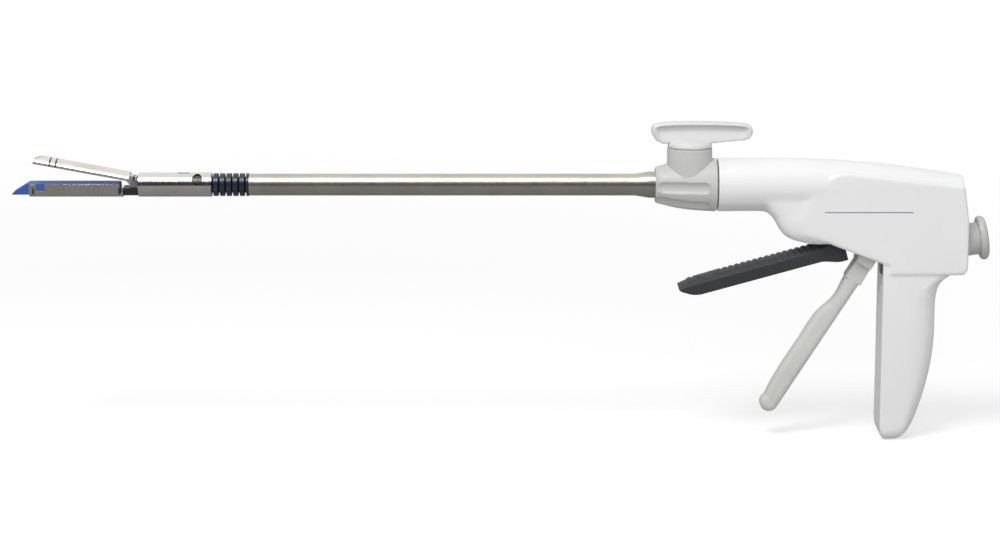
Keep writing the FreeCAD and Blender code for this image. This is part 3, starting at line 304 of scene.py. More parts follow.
# The knob and its tower are the same white plastic as the shell; their darker grey is painted
# shade.
shaded_knob_finish = moulded("knob_plastic_painted_shade", linear(206, 207, 205), linear(199, 200, 198))
lever_finish = moulded("grey_lever_plastic", linear(226, 227, 226), linear(219, 220, 219))
closing_finish = moulded("closing_trigger_plastic", linear(216, 216, 212), linear(208, 208, 204))
button_finish = moulded("button_plastic", linear(196, 197, 193), linear(188, 189, 185))
charcoal_finish = moulded("charcoal_trigger_plastic", linear(58, 60, 62), linear(50, 52, 54),
                          roughness=0.55, grain=0.12)
inner_finish = moulded("inner_plastic", linear(196, 198, 198), linear(184, 186, 187), 0.5)
blue_finish = moulded("cartridge_blue_plastic", linear(52, 98, 178), linear(42, 84, 164), 0.38)
neck_finish = moulded("neck_blue_black", linear(40, 50, 66), linear(30, 38, 52), 0.3)
print("plastics:", [m.name for m in bpy.data.materials if "plastic" in m.name])

# %% [markdown]
# The two shell halves carry a printed rule on each side, as a plain line, and the palm swell
# at the back of the grip is etched more coarsely than the rest. Both follow from where a
# point is, so they are masks on the Object coordinates.

# %% Shell plastic
RULE_Z = -12.6
RULE_START = 337.5
RULE_END = 383.5
RULE_HALF = 0.22
RULE_SIDE = 12.9
PALM_FRONT = 383.0
PALM_TOP = -50.0
ETCH_SCALE = 900.0
ETCH_DEPTH = 0.35
RULE_COLOUR = linear(40, 112, 122)

shell_finish = moulded("shell_plastic", linear(243, 244, 243), linear(239, 240, 239),
                       roughness=0.4, grain=0.05)
shell_x = shell_finish.axis("X")
shell_z = shell_finish.axis("Z")
shell_side = shell_finish.math("ABSOLUTE", shell_finish.axis("Y"))
on_rule = shell_finish.between(shell_z, (RULE_Z - RULE_HALF) * MM, (RULE_Z + RULE_HALF) * MM)
in_length = shell_finish.between(shell_x, RULE_START * MM, RULE_END * MM)
on_side = shell_finish.math("GREATER_THAN", shell_side, RULE_SIDE * MM)
rule = shell_finish.math("MULTIPLY", shell_finish.math("MULTIPLY", on_rule, in_length), on_side)
shell_finish.colour(shell_finish.mix(rule, shell_finish.painted(), RULE_COLOUR))
behind = shell_finish.math("GREATER_THAN", shell_x, PALM_FRONT * MM)
below = shell_finish.math("LESS_THAN", shell_z, PALM_TOP * MM)
palm = shell_finish.math("MULTIPLY", behind, below)
etched = shell_finish.math("MULTIPLY", palm, shell_finish.noise(ETCH_SCALE))
shell_finish.bump(etched, ETCH_DEPTH, 0.6)
print("rule line", RULE_END - RULE_START, "mm long")

# %% [markdown]
# Turned steel has fine rings round the axis. A noise stretched until it hardly changes round
# the tube, but changes fast along it, gives such rings. Black bands are printed across the
# jaws to show where the staple line starts and ends; they are masks along the jaw's length.

# %% Steels
CLOUD_SCALE = 60.0
CLOUD_DARKER = 0.86
RING_STRETCH = (2600.0, 60.0, 60.0)
BLAST_SCALE = 1700.0


def machined(name, tone, roughness, rings=0.0, blast=0.0):
    """Steel with a faint cloudiness, turned rings and a blasted grain."""
    finish = Finish(name, roughness, 1.0)
    cloud = finish.spread(finish.noise(CLOUD_SCALE, 4.0), 0.0, 1.0)
    darker = tuple(level * CLOUD_DARKER for level in tone[:3]) + (1.0,)
    finish.colour(finish.mix(cloud, tone, darker))
    fine = finish.noise(1.0, stretch=RING_STRETCH)
    finish.roughness(finish.spread(fine, roughness - 0.05, roughness + 0.08))
    if rings:
        finish.bump(fine, rings, 0.4)
    if blast:
        finish.bump(finish.noise(BLAST_SCALE), blast, 0.5)
    return finish


sleeve_finish = machined("sleeve_steel", linear(226, 222, 216), 0.17, rings=0.01)
tube_finish = machined("blasted_tube_steel", linear(196, 192, 182), 0.34, blast=0.05)
hidden_finish = machined("plain_steel", linear(190, 190, 188), 0.32, rings=0.01)
anvil_finish = machined("anvil_steel", linear(230, 226, 220), 0.18)
channel_finish = machined("channel_steel", linear(214, 208, 200), 0.28, blast=0.02)
screw_finish = machined("screw_steel", linear(150, 150, 150), 0.3)
retainer_finish = machined("dark_retainer_steel", linear(88, 86, 82), 0.4)
print("steels:", [m.name for m in bpy.data.materials if "steel" in m.name])

# %% Printed bands on the jaws
BAND_HALF = 0.42
ANVIL_BANDS = (-66.0, -62.8, -21.9)
CHANNEL_BANDS = (-73.6, -28.9)
PIVOT = Vector((-21.2, 0.0, 1.0))
JAW_OPEN = math.radians(10.5)
BLACK = linear(22, 22, 24)


def add_bands(finish, along, places, height, low, high):
    """Black bands across a jaw, at some places along it and between two heights."""
    inked = None
    for place in places:
        band = finish.between(along, (place - BAND_HALF) * MM, (place + BAND_HALF) * MM)
        inked = band if inked is None else finish.math("MAXIMUM", inked, band)
    inked = finish.math("MULTIPLY", inked, finish.between(height, low * MM, high * MM))
    finish.colour(finish.mix(inked, finish.painted(), BLACK))
    # Ink doesn't shine as metal does
    metal = finish.math("SUBTRACT", 1.0, inked)
    finish.links.new(metal, finish.shader.inputs["Metallic"])


def jaw_coordinate(letter):
    """Along or up from the hinge pin, in the anvil's own tilted directions."""
    node = anvil_finish.nodes.new("ShaderNodeVectorRotate")
    node.rotation_type = "Y_AXIS"
    node.inputs["Center"].default_value = tuple(PIVOT * MM)
    node.inputs["Angle"].default_value = -JAW_OPEN
    anvil_finish.links.new(anvil_finish.place, node.inputs["Vector"])
    return anvil_finish.axis(letter, node.outputs["Vector"])


add_bands(anvil_finish, jaw_coordinate("X"), ANVIL_BANDS, jaw_coordinate("Z"), 2.4, 9.0)
add_bands(channel_finish, channel_finish.axis("X"), CHANNEL_BANDS,
          channel_finish.axis("Z"), -4.6, -1.1)
print("band width", 2 * BAND_HALF, "mm")

# %% [markdown]
# ## The two shell halves
# The real halves are one flowing form cut along the middle. They are made that way here: the
# two CAD halves are poured together, relaxed, shaped, and only then cut apart, so their
# edges meet exactly. The saddle between barrel and chin is relaxed far more than the rest.

# %% The flowing form
SHELL_VOXEL = 0.62
SADDLE_ROUNDS = 40
PANEL_ROUNDS = 5


def in_saddle(point):
    return 290 < point.x < 332 and -24 < point.z < -3


def in_panel_front(point):
    return 300 < point.x < 356 and -34 < point.z < 9


shell = remeshed(merged_nodes("housing_left", "housing_right"), SHELL_VOXEL, 4)
relax(shell, in_saddle, SADDLE_ROUNDS)
relax(shell, in_panel_front, PANEL_ROUNDS)

# The front edge of the raised side panel, from the spine round to the mouth
PANEL_EDGE = [(376.8, 6.9), (347.1, 9.7), (338.2, 9.5), (332.0, 6.9), (327.0, 2.7),
              (322.7, -4.1), (318.9, -12.4), (320.8, -17.5), (324.6, -20.0),
              (336.5, -24.7), (339.3, -27.2)]
CHIN_REACH = 13.0
CHIN_CURVE = 16.0
CHIN_REAR = 342.0
CHIN_TOP, CHIN_FULL = -8.0, -17.0


def beyond_panel(x, z):
    """How far a place in front of the panel is from the panel's edge."""
    nearest, outside = math.inf, False
    for (ax, az), (bx, bz) in zip(PANEL_EDGE, PANEL_EDGE[1:]):
        run, lift = bx - ax, bz - az
        share = ((x - ax) * run + (z - az) * lift) / (run * run + lift * lift)
        share = min(1.0, max(0.0, share))
        away = math.hypot(x - ax - share * run, z - az - share * lift)
        if away < nearest:
            nearest, outside = away, (x - ax) * lift - (z - az) * run > 0
    return min(nearest, CHIN_REACH) if outside else 0.0


def round_chin(bm):
    """Draws the chin's sides in, more the further they are in front of the panel's edge."""
    for vert in bm.verts:
        if vert.co.x > CHIN_REAR or vert.co.z > CHIN_TOP:
            continue
        fade = smoothstep(-vert.co.z, -CHIN_TOP, -CHIN_FULL)
        bend = 1 - math.sqrt(1 - (beyond_panel(vert.co.x, vert.co.z) / CHIN_CURVE) ** 2)
        vert.co.y *= 1 - fade * bend


round_chin(shell)

# Where the palm swell begins and where the grip ends, read at a few heights
FACET = [(-134.0, 380.5), (-110.0, 382.6), (-80.0, 383.0), (-62.0, 383.6),
         (-55.0, 387.5), (-50.0, 394.0), (-46.0, 404.0), (-43.0, 412.0)]
REAR = [(-134.0, 381.5), (-130.0, 384.6), (-121.5, 388.8), (-110.5, 392.4), (-95.5, 395.8),
        (-78.0, 397.5), (-60.5, 397.6), (-52.2, 399.4), (-46.6, 405.2), (-43.0, 413.2)]
SWELL = 0.8
SWELL_TOP, SWELL_FULL = -44.0, -52.0
SWELL_FRONT = 378.0


def round_palm(bm):
    """Draws the sides in behind the facet line, until the back of the grip is round."""
    for vert in bm.verts:
        if vert.co.z > SWELL_TOP or vert.co.x < SWELL_FRONT:
            continue
        start = through_stations(vert.co.z, FACET)
        end = through_stations(vert.co.z, REAR) + 1.0
        share = min(1.0, max(0.0, (vert.co.x - start) / max(1.0, end - start)))
        fade = smoothstep(-vert.co.z, -SWELL_TOP, -SWELL_FULL)
        vert.co.y *= 1 - fade * (1 - math.sqrt(1 - SWELL * share ** 2))


round_palm(shell)
print("the form has", len(shell.faces), "faces before it is cut")

# %% [markdown]
# A copy of the form is cut on the middle plane for each side, and the ring that the cut
# leaves is filled, so each half is a closed shell with a flat parting face.

# %% Cut the form into halves
CUT_DISTANCE = 0.0001
for side, name in ((-1, "left"), (1, "right")):
    half = shell.copy()
    everything = half.verts[:] + half.edges[:] + half.faces[:]
    made = bmesh.ops.bisect_plane(half, geom=everything, dist=CUT_DISTANCE, plane_co=(0, 0, 0),
                                  plane_no=(0, -side, 0), clear_outer=True)
    rim = [item for item in made["geom_cut"] if isinstance(item, bmesh.types.BMEdge)]
    bmesh.ops.triangle_fill(half, use_beauty=True, use_dissolve=False, edges=rim)
    bmesh.ops.recalc_face_normals(half, faces=half.faces)
    piece = finish_piece("shell_" + name, half, "handle", shell_finish.material, 50.0)
    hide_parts("housing_" + name)
shell.free()

# %% [markdown]
# ## The rotation knob
# A turned body with scooped finger flutes. A profile is spun round the shaft's axis, and the
# flutes are then pressed in by moving the rings of points inward, deepest in the middle of
# each flute. The lever's tower is a second turned shape that stands through the first.

# %% Turn the knob
KNOB_REAR = 282.0
KNOB_PROFILE = [(250.1, 7.0), (250.0, 8.9), (250.5, 9.5), (252.5, 10.1), (257.0, 11.3),
                (262.0, 12.3), (268.0, 13.1), (274.0, 13.6), (279.5, 13.85), (281.4, 13.9),
                (282.0, 13.3), (282.0, 9.0), (286.6, 9.0), (286.6, 11.2), (289.5, 11.2),
                (289.6, 4.6)]
KNOB_STEPS = 216
KNOB_INNER = 9.3
LONG_EDGE = 2.0
LONG_EDGE_CUTS = 9
FLUTE_ANGLES = (0.0, -45.0, -90.0, -135.0, -180.0)
FLUTE_START = 254.6
FLUTE_END = 275.2
FLUTE_HALF = 3.0
FLUTE_DEPTH = 1.7
FLUTE_ROUNDNESS = 0.6


def chain(bm, points):
    """A line of edges through (x, radius) points, in the plane of the axis and the height."""
    verts = [bm.verts.new((x, 0, radius)) for x, radius in points]
    return verts, [bm.edges.new(pair) for pair in zip(verts, verts[1:])]


def turned(points, steps, closed=False):
    """A profile spun all the way round the shaft's axis."""
    bm = bmesh.new()
    verts, edges = chain(bm, points)
    if closed:
        edges.append(bm.edges.new((verts[-1], verts[0])))
    bmesh.ops.spin(bm, geom=verts + edges, cent=(0, 0, 0), axis=(1, 0, 0), dvec=(0, 0, 0),
                   angle=math.radians(360), steps=steps, use_merge=True, use_duplicate=False)
    bmesh.ops.remove_doubles(bm, verts=bm.verts, dist=MERGE_DISTANCE)
    bmesh.ops.recalc_face_normals(bm, faces=bm.faces)
    return bm


def flute_depth(x, offset):
    """How deep the knob is pressed in, along it and at a distance from the flute's line."""
    beyond = max(FLUTE_START - x, x - FLUTE_END, 0.0)
    reach = math.hypot(beyond, offset)
    if reach >= FLUTE_HALF:
        return 0.0
    return FLUTE_DEPTH * (1 - (reach / FLUTE_HALF) ** 2) ** FLUTE_ROUNDNESS


knob = turned(KNOB_PROFILE, KNOB_STEPS, closed=True)
long_edges = [edge for edge in knob.edges
              if abs(edge.verts[0].co.x - edge.verts[1].co.x) > LONG_EDGE
              and edge.verts[0].co.yz.length > KNOB_INNER - 0.1]
bmesh.ops.subdivide_edges(knob, edges=long_edges, cuts=LONG_EDGE_CUTS, use_grid_fill=True)
for vert in knob.verts:
    radius = vert.co.yz.length
    if radius < KNOB_INNER or vert.co.x > KNOB_REAR - 1.0:
        continue
    angle = math.atan2(vert.co.z, vert.co.y * -1)
    press = 0.0
    for flute in FLUTE_ANGLES:
        turn = (angle - math.radians(flute) + math.pi) % (2 * math.pi) - math.pi
        press = max(press, flute_depth(vert.co.x, turn * radius))
    vert.co.yz *= (radius - press) / radius
knob_piece = finish_piece("knob_body", knob, "knob", shaded_knob_finish.material, 38.0)

# %% [markdown]
# The tower is a short upright cylinder with the slight taper that lets it leave its mould.
# It starts inside the knob, and only its upper rim is rounded.

# %% The lever's tower
TOWER_X = 267.9
TOWER_RADIUS = 11.8
TOWER_TOP = 19.6
TOWER_BASE = 2.0
TOWER_DRAFT = 0.1
TOWER_ROUND = 0.5

tower = bmesh.new()
bmesh.ops.create_cone(tower, cap_ends=True, segments=144, depth=TOWER_TOP - TOWER_BASE,
                      radius1=TOWER_RADIUS + TOWER_DRAFT, radius2=TOWER_RADIUS - TOWER_DRAFT)
bmesh.ops.translate(tower, vec=(TOWER_X, 0, (TOWER_TOP + TOWER_BASE) / 2), verts=tower.verts)
rim = [edge for edge in tower.edges if all(vert.co.z > TOWER_TOP - 0.01 for vert in edge.verts)]
bmesh.ops.bevel(tower, geom=rim, offset=TOWER_ROUND, segments=4, profile=0.5,
                affect="EDGES", material=-1)
tower_piece = finish_piece("knob_tower", tower, "knob", shaded_knob_finish.material)
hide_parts("rotation_knob")

# %% [markdown]
# ## The articulation lever
# A thumb paddle with a scooped face on each side, on a round domed cap. The paddle is an
# outline pulled to a thickness, with its rims bevelled. It is then poured into voxels, and
# every point is moved towards the middle by the depth of the scoop at its place.

# %% Shape the paddle
PADDLE_HALF = 4.0
PADDLE_TOP = [(247.7, 29.6), (248.9, 31.6), (252.6, 32.6), (259.0, 33.0), (268.0, 33.3),
              (278.0, 33.2), (288.0, 32.9), (296.0, 32.3), (299.4, 31.2), (300.5, 29.2)]
PADDLE_LOW = [(247.7, 29.6), (248.1, 26.8), (250.2, 23.6), (253.6, 21.9), (266.0, 21.6),
              (278.4, 21.9), (288.0, 23.0), (295.6, 23.5), (298.8, 24.5), (300.3, 26.6),
              (300.5, 29.2)]
# The outline starts at the low edge's fourth point and goes round by the front end
PADDLE_OUTLINE = PADDLE_LOW[3:0:-1] + PADDLE_TOP + PADDLE_LOW[-2:3:-1]
PADDLE_ROUND = 1.5
PADDLE_VOXEL = 0.3
PADDLE_ROUNDS = 9


def outline_prism(points, half):
    """A flat outline in the middle plane, pulled to the same depth on both sides."""
    bm = bmesh.new()
    verts = [bm.verts.new((x, -half, z)) for x, z in points]
    face = bm.faces.new(verts)
    pulled = bmesh.ops.extrude_face_region(bm, geom=[face])
    moved = [item for item in pulled["geom"] if isinstance(item, bmesh.types.BMVert)]
    bmesh.ops.translate(bm, vec=(0, 2 * half, 0), verts=moved)
    bmesh.ops.recalc_face_normals(bm, faces=bm.faces)
    return bm


def side_faces(bm, half):
    """The two flat faces of such a prism."""
    return [face for face in bm.faces if abs(abs(face.calc_center_median().y) - half) < 0.001]


SCOOP_DEPTH = 3.0
SCOOP_RIM = 1.3
SCOOP_ENDS = (249.2, 299.0)
SCOOP_EDGE = 0.8
SCOOP_RUN_OUT = 4.0


def scoop(point):
    """How deep a paddle face is scooped: at once under the upper rim, then less and less."""
    top = through_stations(point.x, PADDLE_TOP)
    low = through_stations(point.x, PADDLE_LOW)
    ends = min(point.x - SCOOP_ENDS[0], SCOOP_ENDS[1] - point.x)
    under = top - SCOOP_RIM - point.z
    if under <= 0.0 or ends <= 0.0:
        return 0.0
    share = under / max(1.0, top - SCOOP_RIM - low)
    depth = SCOOP_DEPTH * smoothstep(under, 0.0, SCOOP_EDGE) * smoothstep(ends, 0.0, SCOOP_RUN_OUT)
    return depth * max(0.0, 1 - share) ** 0.8


paddle = outline_prism(PADDLE_OUTLINE, PADDLE_HALF)
rims = {edge for face in side_faces(paddle, PADDLE_HALF) for edge in face.edges}
bmesh.ops.bevel(paddle, geom=list(rims), offset=PADDLE_ROUND, segments=4, profile=0.5,
                affect="EDGES", material=-1)
paddle = remeshed(paddle, PADDLE_VOXEL, PADDLE_ROUNDS)
for vert in paddle.verts:
    vert.co.y *= 1 - scoop(vert.co) / PADDLE_HALF
piece = finish_piece("lever_paddle", paddle, "lever", lever_finish.material, 60.0)

# %% [markdown]
# The cap and the stem under it are one turned profile. The stem goes down into the tower,
# where the drum sits on it.

# %% The domed cap and the stem
CAP_BASE = 19.9
CAP_RIM = 20.7
CAP_DOME = 4.3
CAP_RADIUS = 11.5
CAP_EDGE = 0.3
STEM_RADIUS = 3.5
STEM_LOW = 6.0


def spun_upright(points, steps, x):
    """A (radius, height) profile spun round an upright axis."""
    bm = bmesh.new()
    verts = [bm.verts.new((radius, 0, z)) for radius, z in points]
    edges = [bm.edges.new(pair) for pair in zip(verts, verts[1:])]
    bmesh.ops.spin(bm, geom=verts + edges, cent=(0, 0, 0), axis=(0, 0, 1), dvec=(0, 0, 0),
                   angle=math.radians(360), steps=steps, use_merge=True, use_duplicate=False)
    bmesh.ops.remove_doubles(bm, verts=bm.verts, dist=MERGE_DISTANCE)
    bmesh.ops.translate(bm, vec=(x, 0, 0), verts=bm.verts)
    bmesh.ops.recalc_face_normals(bm, faces=bm.faces)
    return bm


dome = [(CAP_RADIUS * math.cos(step * math.pi / 24),
         CAP_RIM + CAP_DOME * math.sin(step * math.pi / 24)) for step in range(12)]
dome.append((0.0, CAP_RIM + CAP_DOME))
cap_profile = [(0.0, STEM_LOW), (STEM_RADIUS, STEM_LOW), (STEM_RADIUS, CAP_BASE),
               (CAP_RADIUS - CAP_EDGE, CAP_BASE), (CAP_RADIUS, CAP_BASE + CAP_EDGE)] + dome
cap_bm = spun_upright(cap_profile, 128, TOWER_X)
cap = finish_piece("lever_cap", cap_bm, "lever", lever_finish.material)
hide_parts("articulation_lever")

# %% [markdown]
# ## The triggers
# Both triggers are moulded levers. Their CAD shapes hold the forks, bores and hollows that
# the joints need, so they are poured into voxels as the shell was. The firing trigger's
# finger face is then crowned and gets its cross ribs and the oval rest at its tip.

# %% The firing trigger
TRIGGER_PIVOT = Vector((366.0, 0.0, -28.5))
FIRING_LEAN = math.radians(15.5)
FIRING_ALONG = Vector((-math.cos(FIRING_LEAN), 0, -math.sin(FIRING_LEAN)))
FIRING_UP = Vector((-math.sin(FIRING_LEAN), 0, math.cos(FIRING_LEAN)))
FIRING_HALF = 5.7
FIRING_SIDE = 8.0
CROWN_START = 20.0
CROWN_RUN_IN = 12.0
CROWN_DROP = 2.6
CROWN_FOOT = -2.0
RIB_PITCH = 3.25
RIB_HEIGHT = 0.72
RIB_FIRST, RIB_LAST = 30.0, 101.0
REST_PLACE, REST_LONG, REST_WIDE = 89.4, 6.8, 5.6
REST_RISE = 0.7
SLIM = 0.76
FIRING_VOXEL = 0.34
CLOSING_VOXEL = 0.36


def crown_height(along, y):
    """How high the finger face is over its flat: ribs, an oval rest and the crown's fall."""
    inside = math.hypot((along - REST_PLACE) / REST_LONG, y / REST_WIDE)
    side_fade = smoothstep(FIRING_SIDE - abs(y), 0.2, 3.4)
    if inside < 1.0:
        relief = REST_RISE * smoothstep(1.0 - inside, 0.0, 0.08) * (1 - 0.35 * (1 - inside))
    elif inside < 1.1 or not RIB_FIRST < along < RIB_LAST:
        relief = 0.0
    else:
        wave = abs(math.sin(math.pi * (along - RIB_FIRST) / RIB_PITCH))
        relief = RIB_HEIGHT * wave * side_fade
    return relief - CROWN_DROP * (y / FIRING_SIDE) ** 2


draft = merged_nodes("firing_trigger")
for vert in draft.verts:
    rise = (vert.co - TRIGGER_PIVOT).dot(FIRING_UP)
    if rise > FIRING_HALF:
        vert.co -= FIRING_UP * (rise - FIRING_HALF)
firing = remeshed(draft, FIRING_VOXEL, 1)
for vert in firing.verts:
    offset = vert.co - TRIGGER_PIVOT
    along, rise = offset.dot(FIRING_ALONG), offset.dot(FIRING_UP)
    if along < CROWN_START:
        continue
    fade = smoothstep(along, CROWN_START, CROWN_START + CROWN_RUN_IN)
    new_rise = FIRING_HALF - (FIRING_HALF - rise) * (1 - (1 - SLIM) * fade)
    on_top = min(1.0, max(0.0, (rise - CROWN_FOOT) / (FIRING_HALF - CROWN_FOOT)))
    new_rise += crown_height(along, vert.co.y) * fade * on_top
    vert.co += FIRING_UP * (new_rise - rise)
piece = finish_piece("firing_lever", firing, "firing", charcoal_finish.material, 60.0)
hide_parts("firing_trigger")

# %% [markdown]
# The closing trigger is only poured and relaxed, which rounds its edges as moulding does.

# %% The closing trigger
closing = remeshed(merged_nodes("closing_trigger"), CLOSING_VOXEL, 4)
piece = finish_piece("closing_lever", closing, "closing", closing_finish.material, 60.0)
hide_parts("closing_trigger")

# %% [markdown]
# ## The release button
# A round cap with a dished face and fine rings to keep the thumb on it. Its profile is spun
# and then tilted with the button's own axis.

# %% Turn the button
BUTTON_CENTRE = Vector((419.4, 0.0, -28.3))
BUTTON_TILT = math.radians(8.0)
STEM_BACK = 18.0
RING_PITCH = 1.1
RING_DEPTH = 0.16
DISH_RADIUS = 9.4
DISH_FACE = 4.25
DISH_DEPTH = 0.9

button_profile = [(-STEM_BACK, 0.0), (-STEM_BACK, 3.0), (-12.0, 3.0), (-12.0, 8.5), (0.0, 8.5),
                  (0.0, 10.4), (0.5, 11.2), (1.5, 11.6), (2.7, 11.5), (3.6, 10.9), (4.2, 9.9)]
for ring in range(int(DISH_RADIUS / (RING_PITCH / 4))):
    radius = DISH_RADIUS - ring * RING_PITCH / 4
    dish = DISH_FACE - DISH_DEPTH * (1 - (radius / DISH_RADIUS) ** 2)
    button_profile.append((dish + RING_DEPTH * math.sin(ring * math.pi / 2), radius))
button_profile.append((DISH_FACE - DISH_DEPTH, 0.0))
button = turned(button_profile, 128)
bmesh.ops.rotate(button, cent=(0, 0, 0), matrix=Matrix.Rotation(-BUTTON_TILT, 3, "Y"),
                 verts=button.verts)
bmesh.ops.translate(button, vec=BUTTON_CENTRE, verts=button.verts)
piece = finish_piece("button_cap", button, "button", button_finish.material)
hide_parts("release_button")

# %% [markdown]
# ## Steel pieces
# The sleeve, the jaws and the tubes have the right shape in CAD already, but for the side
# walls of the channel, which come up nearly to the cartridge's deck. A merged copy of each,
# with smooth shading and a hair-fine bevel on its sharp edges, is what machined steel looks
# like: every edge carries a thin highlight.

# %% The channel's side walls
WALL_LOW, WALL_HIGH = -1.4, -0.9
WALL_RISE = 1.9
WALL_INNER = 4.0


def raise_walls(bm):
    """The tops of the channel's walls come up nearly to the cartridge's deck."""
    raised = [vert for vert in bm.verts
              if WALL_LOW < vert.co.z < WALL_HIGH and abs(vert.co.y) > WALL_INNER]
    bmesh.ops.translate(bm, vec=(0, 0, WALL_RISE), verts=raised)
    print("wall corners raised:", len(raised))


# %% Bevelled copies
def bevelled_copy(node, name, body, finish, width):
    """A copy of a node whose flat faces are joined up and whose edges are broken."""
    bm = merged_nodes(node)
    if node == "cartridge_channel":
        raise_walls(bm)
    bmesh.ops.dissolve_limit(bm, angle_limit=math.radians(1.0), verts=bm.verts, edges=bm.edges)
    piece = finish_piece(name, bm, body, finish.material, 30.0)
    bevel = piece.modifiers.new("Broken edges", "BEVEL")
    bevel.width = width * MM
    bevel.segments = 2
    bevel.limit_method = "ANGLE"
    bevel.angle_limit = math.radians(38)
    bevel.use_clamp_overlap = True
    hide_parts(node)


bevelled_copy("anvil", "anvil_beam", "anvil", anvil_finish, 0.12)
bevelled_copy("cartridge_channel", "jaw_channel", "end_effector", channel_finish,
              0.1)
bevelled_copy("staple_cartridge", "cartridge_body", "end_effector", blue_finish,
              0.06)
bevelled_copy("closure_sleeve", "sleeve_tube", "sleeve", sleeve_finish, 0.08)
for index in range(1, 6):
    bevelled_copy("neck_rib_%d" % index, "rib_link_%d" % index, "rib_%d" % index, neck_finish,
                  0.35)
bevelled_copy("shaft_tube", "outer_tube", "knob", tube_finish, 0.1)
bevelled_copy("neck_ferrule", "ferrule", "knob", neck_finish, 0.15)

# %% [markdown]
# The pieces inside stay as CAD made them and only get a finish of their own.

# %% Finishes for the CAD nodes that stay
KEPT = {
    "knife": hidden_finish, "channel_retainer": retainer_finish, "anvil_pivot_pin": hidden_finish,
    "closure_tube": hidden_finish, "articulation_band_right": hidden_finish,
    "articulation_band_left": hidden_finish, "articulation_drum": inner_finish,
    "sector_gear": inner_finish, "drive_gear": inner_finish, "firing_rack": inner_finish,
    "firing_rod": hidden_finish, "gear_axle": hidden_finish, "trigger_pivot_pin": hidden_finish,
    "closure_yoke": inner_finish, "closure_link": hidden_finish, "housing_screws": screw_finish,
}
for node, finish in KEPT.items():
    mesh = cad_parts[node].data
    mesh.materials.clear()
    mesh.materials.append(finish.material)
print("kept nodes:", len(KEPT))

# %% [markdown]
# ## Floor and light
# A plain pale floor and soft lamps. Polished steel shows what is around it, so the world is
# brighter overhead than behind the camera: that is what draws the bright and dark bands
# along a tube.

# %% Floor
FLOOR_SIZE = 12.0
FLOOR_TONE = (0.55, 0.55, 0.55, 1.0)
FLOOR_IN_STEEL = (0.3, 0.3, 0.3, 1.0)
NEAR_FLOOR, FAR_FLOOR = 0.5, 2.5
NEAR_GLOW, FAR_GLOW = 0.53, 0.88
FLOOR_GAP = 0.0005
low_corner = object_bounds()[0]
floor_bm = bmesh.new()
bmesh.ops.create_grid(floor_bm, x_segments=1, y_segments=1, size=FLOOR_SIZE)
bmesh.ops.translate(floor_bm, vec=(0, 0, low_corner.z - FLOOR_GAP), verts=floor_bm.verts)
floor_mesh = to_mesh(floor_bm, "floor")
floor = bpy.data.objects.new("floor", floor_mesh)
scene.collection.objects.link(floor)

floor_material = bpy.data.materials.new("pale_floor")
floor_material.use_nodes = True
nodes = floor_material.node_tree.nodes
links = floor_material.node_tree.links
shader = nodes["Principled BSDF"]
shader.inputs["Roughness"].default_value = 0.9
seen = nodes.new("ShaderNodeLightPath")
paper = nodes.new("ShaderNodeMix")
paper.data_type = "RGBA"
paper.inputs["A"].default_value = FLOOR_TONE
paper.inputs["B"].default_value = FLOOR_IN_STEEL
links.new(seen.outputs["Is Glossy Ray"], paper.inputs["Factor"])
links.new(paper.outputs["Result"], shader.inputs["Base Color"])
away = nodes.new("ShaderNodeVectorMath")
away.operation = "LENGTH"
links.new(nodes.new("ShaderNodeTexCoord").outputs["Object"], away.inputs[0])
level = nodes.new("ShaderNodeMapRange")
for socket, limit in (("From Min", NEAR_FLOOR), ("From Max", FAR_FLOOR),
                      ("To Min", NEAR_GLOW), ("To Max", FAR_GLOW)):
    level.inputs[socket].default_value = limit
links.new(away.outputs["Value"], level.inputs["Value"])
glow = nodes.new("ShaderNodeMath")
glow.operation = "MULTIPLY"
links.new(level.outputs["Result"], glow.inputs[1])
links.new(seen.outputs["Is Camera Ray"], glow.inputs[0])
shader.inputs["Emission Color"].default_value = (1, 1, 1, 1)
links.new(glow.outputs["Value"], shader.inputs["Emission Strength"])
floor_mesh.materials.append(floor_material)
print("floor at", round(low_corner.z, 4), "m")

# %% [markdown]
# The floor glows a little more the further off it is, for the camera's rays only, so it
# fades into the white behind it and still keeps the shadow near the instrument.

# %% World
AMBIENT = 0.5
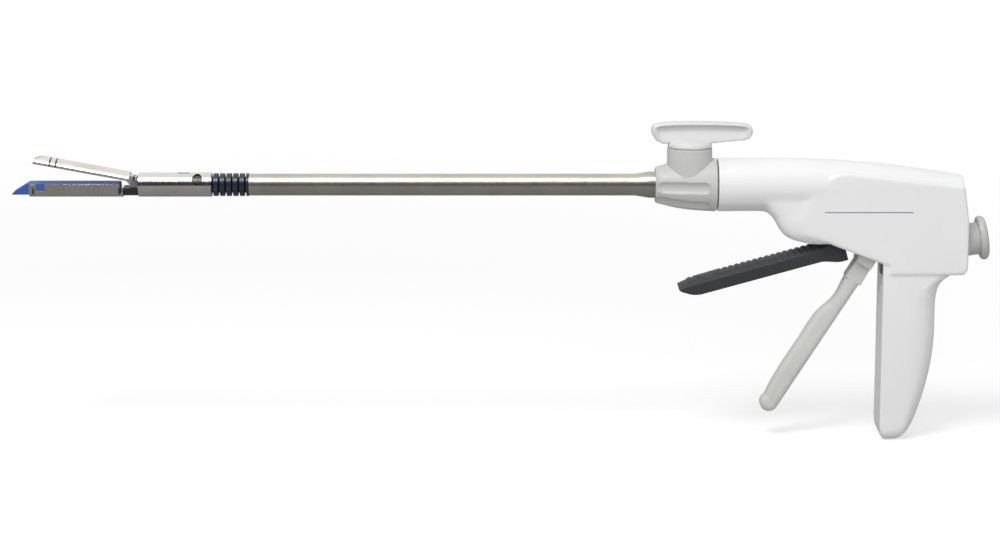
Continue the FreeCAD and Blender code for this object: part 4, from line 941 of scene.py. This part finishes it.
# What polished steel sees, from the dark low front to the bright ceiling
ROOM_STEPS = [(0.0, (0.04, 0.04, 0.045, 1)), (0.45, (0.3, 0.3, 0.31, 1)),
              (0.8, (1.0, 1.0, 1.0, 1))]
world = bpy.data.worlds.new("studio")
scene.world = world
world.use_nodes = True
nodes = world.node_tree.nodes
links = world.node_tree.links
background = nodes["Background"]
rays = nodes.new("ShaderNodeLightPath")
direction = nodes.new("ShaderNodeTexCoord")
parts = nodes.new("ShaderNodeSeparateXYZ")
links.new(direction.outputs["Generated"], parts.inputs["Vector"])
tilt = nodes.new("ShaderNodeMath")
tilt.operation = "MULTIPLY_ADD"
tilt.inputs[1].default_value = 0.5
links.new(parts.outputs["Y"], tilt.inputs[0])
links.new(parts.outputs["Z"], tilt.inputs[2])
room = nodes.new("ShaderNodeValToRGB")
steps = room.color_ramp.elements
steps.new(ROOM_STEPS[1][0])
for step, (position, tone) in zip(steps, ROOM_STEPS):
    step.position = position
    step.color = tone
links.new(tilt.outputs["Value"], room.inputs["Fac"])
by_gloss = nodes.new("ShaderNodeMix")
by_gloss.data_type = "RGBA"
by_gloss.inputs["A"].default_value = (AMBIENT, AMBIENT, AMBIENT, 1)
links.new(rays.outputs["Is Glossy Ray"], by_gloss.inputs["Factor"])
links.new(room.outputs["Color"], by_gloss.inputs["B"])
by_sight = nodes.new("ShaderNodeMix")
by_sight.data_type = "RGBA"
by_sight.inputs["B"].default_value = (1, 1, 1, 1)
links.new(rays.outputs["Is Camera Ray"], by_sight.inputs["Factor"])
links.new(by_gloss.outputs["Result"], by_sight.inputs["A"])
links.new(by_sight.outputs["Result"], background.inputs["Color"])
print("ambient level", AMBIENT)

# %% [markdown]
# A key lamp from the upper left draws the shadow, a weak one fills from the right, and a
# lamp over the camera opens the sides. The last isn't seen in the steel.

# %% Lamps
def soft_lamp(name, place, target, size, power):
    """A square lamp at a place, turned to look at a target."""
    data = bpy.data.lights.new(name, "AREA")
    data.size = size
    data.energy = power
    lamp = bpy.data.objects.new(name, data)
    lamp.location = place
    lamp.rotation_euler = (Vector(target) - Vector(place)).to_track_quat("-Z", "Y").to_euler()
    scene.collection.objects.link(lamp)
    return lamp


HANDLE = (0.33, 0.0, -0.04)
soft_lamp("key", (-0.2, -0.8, 1.3), HANDLE, 0.6, 12.0)
soft_lamp("fill", (1.4, -0.9, 0.3), HANDLE, 1.0, 1.0)
front = soft_lamp("front", (0.3, -1.7, 0.8), HANDLE, 0.8, 5.0)
front.visible_glossy = False
print("lamps:", len(bpy.data.lights))
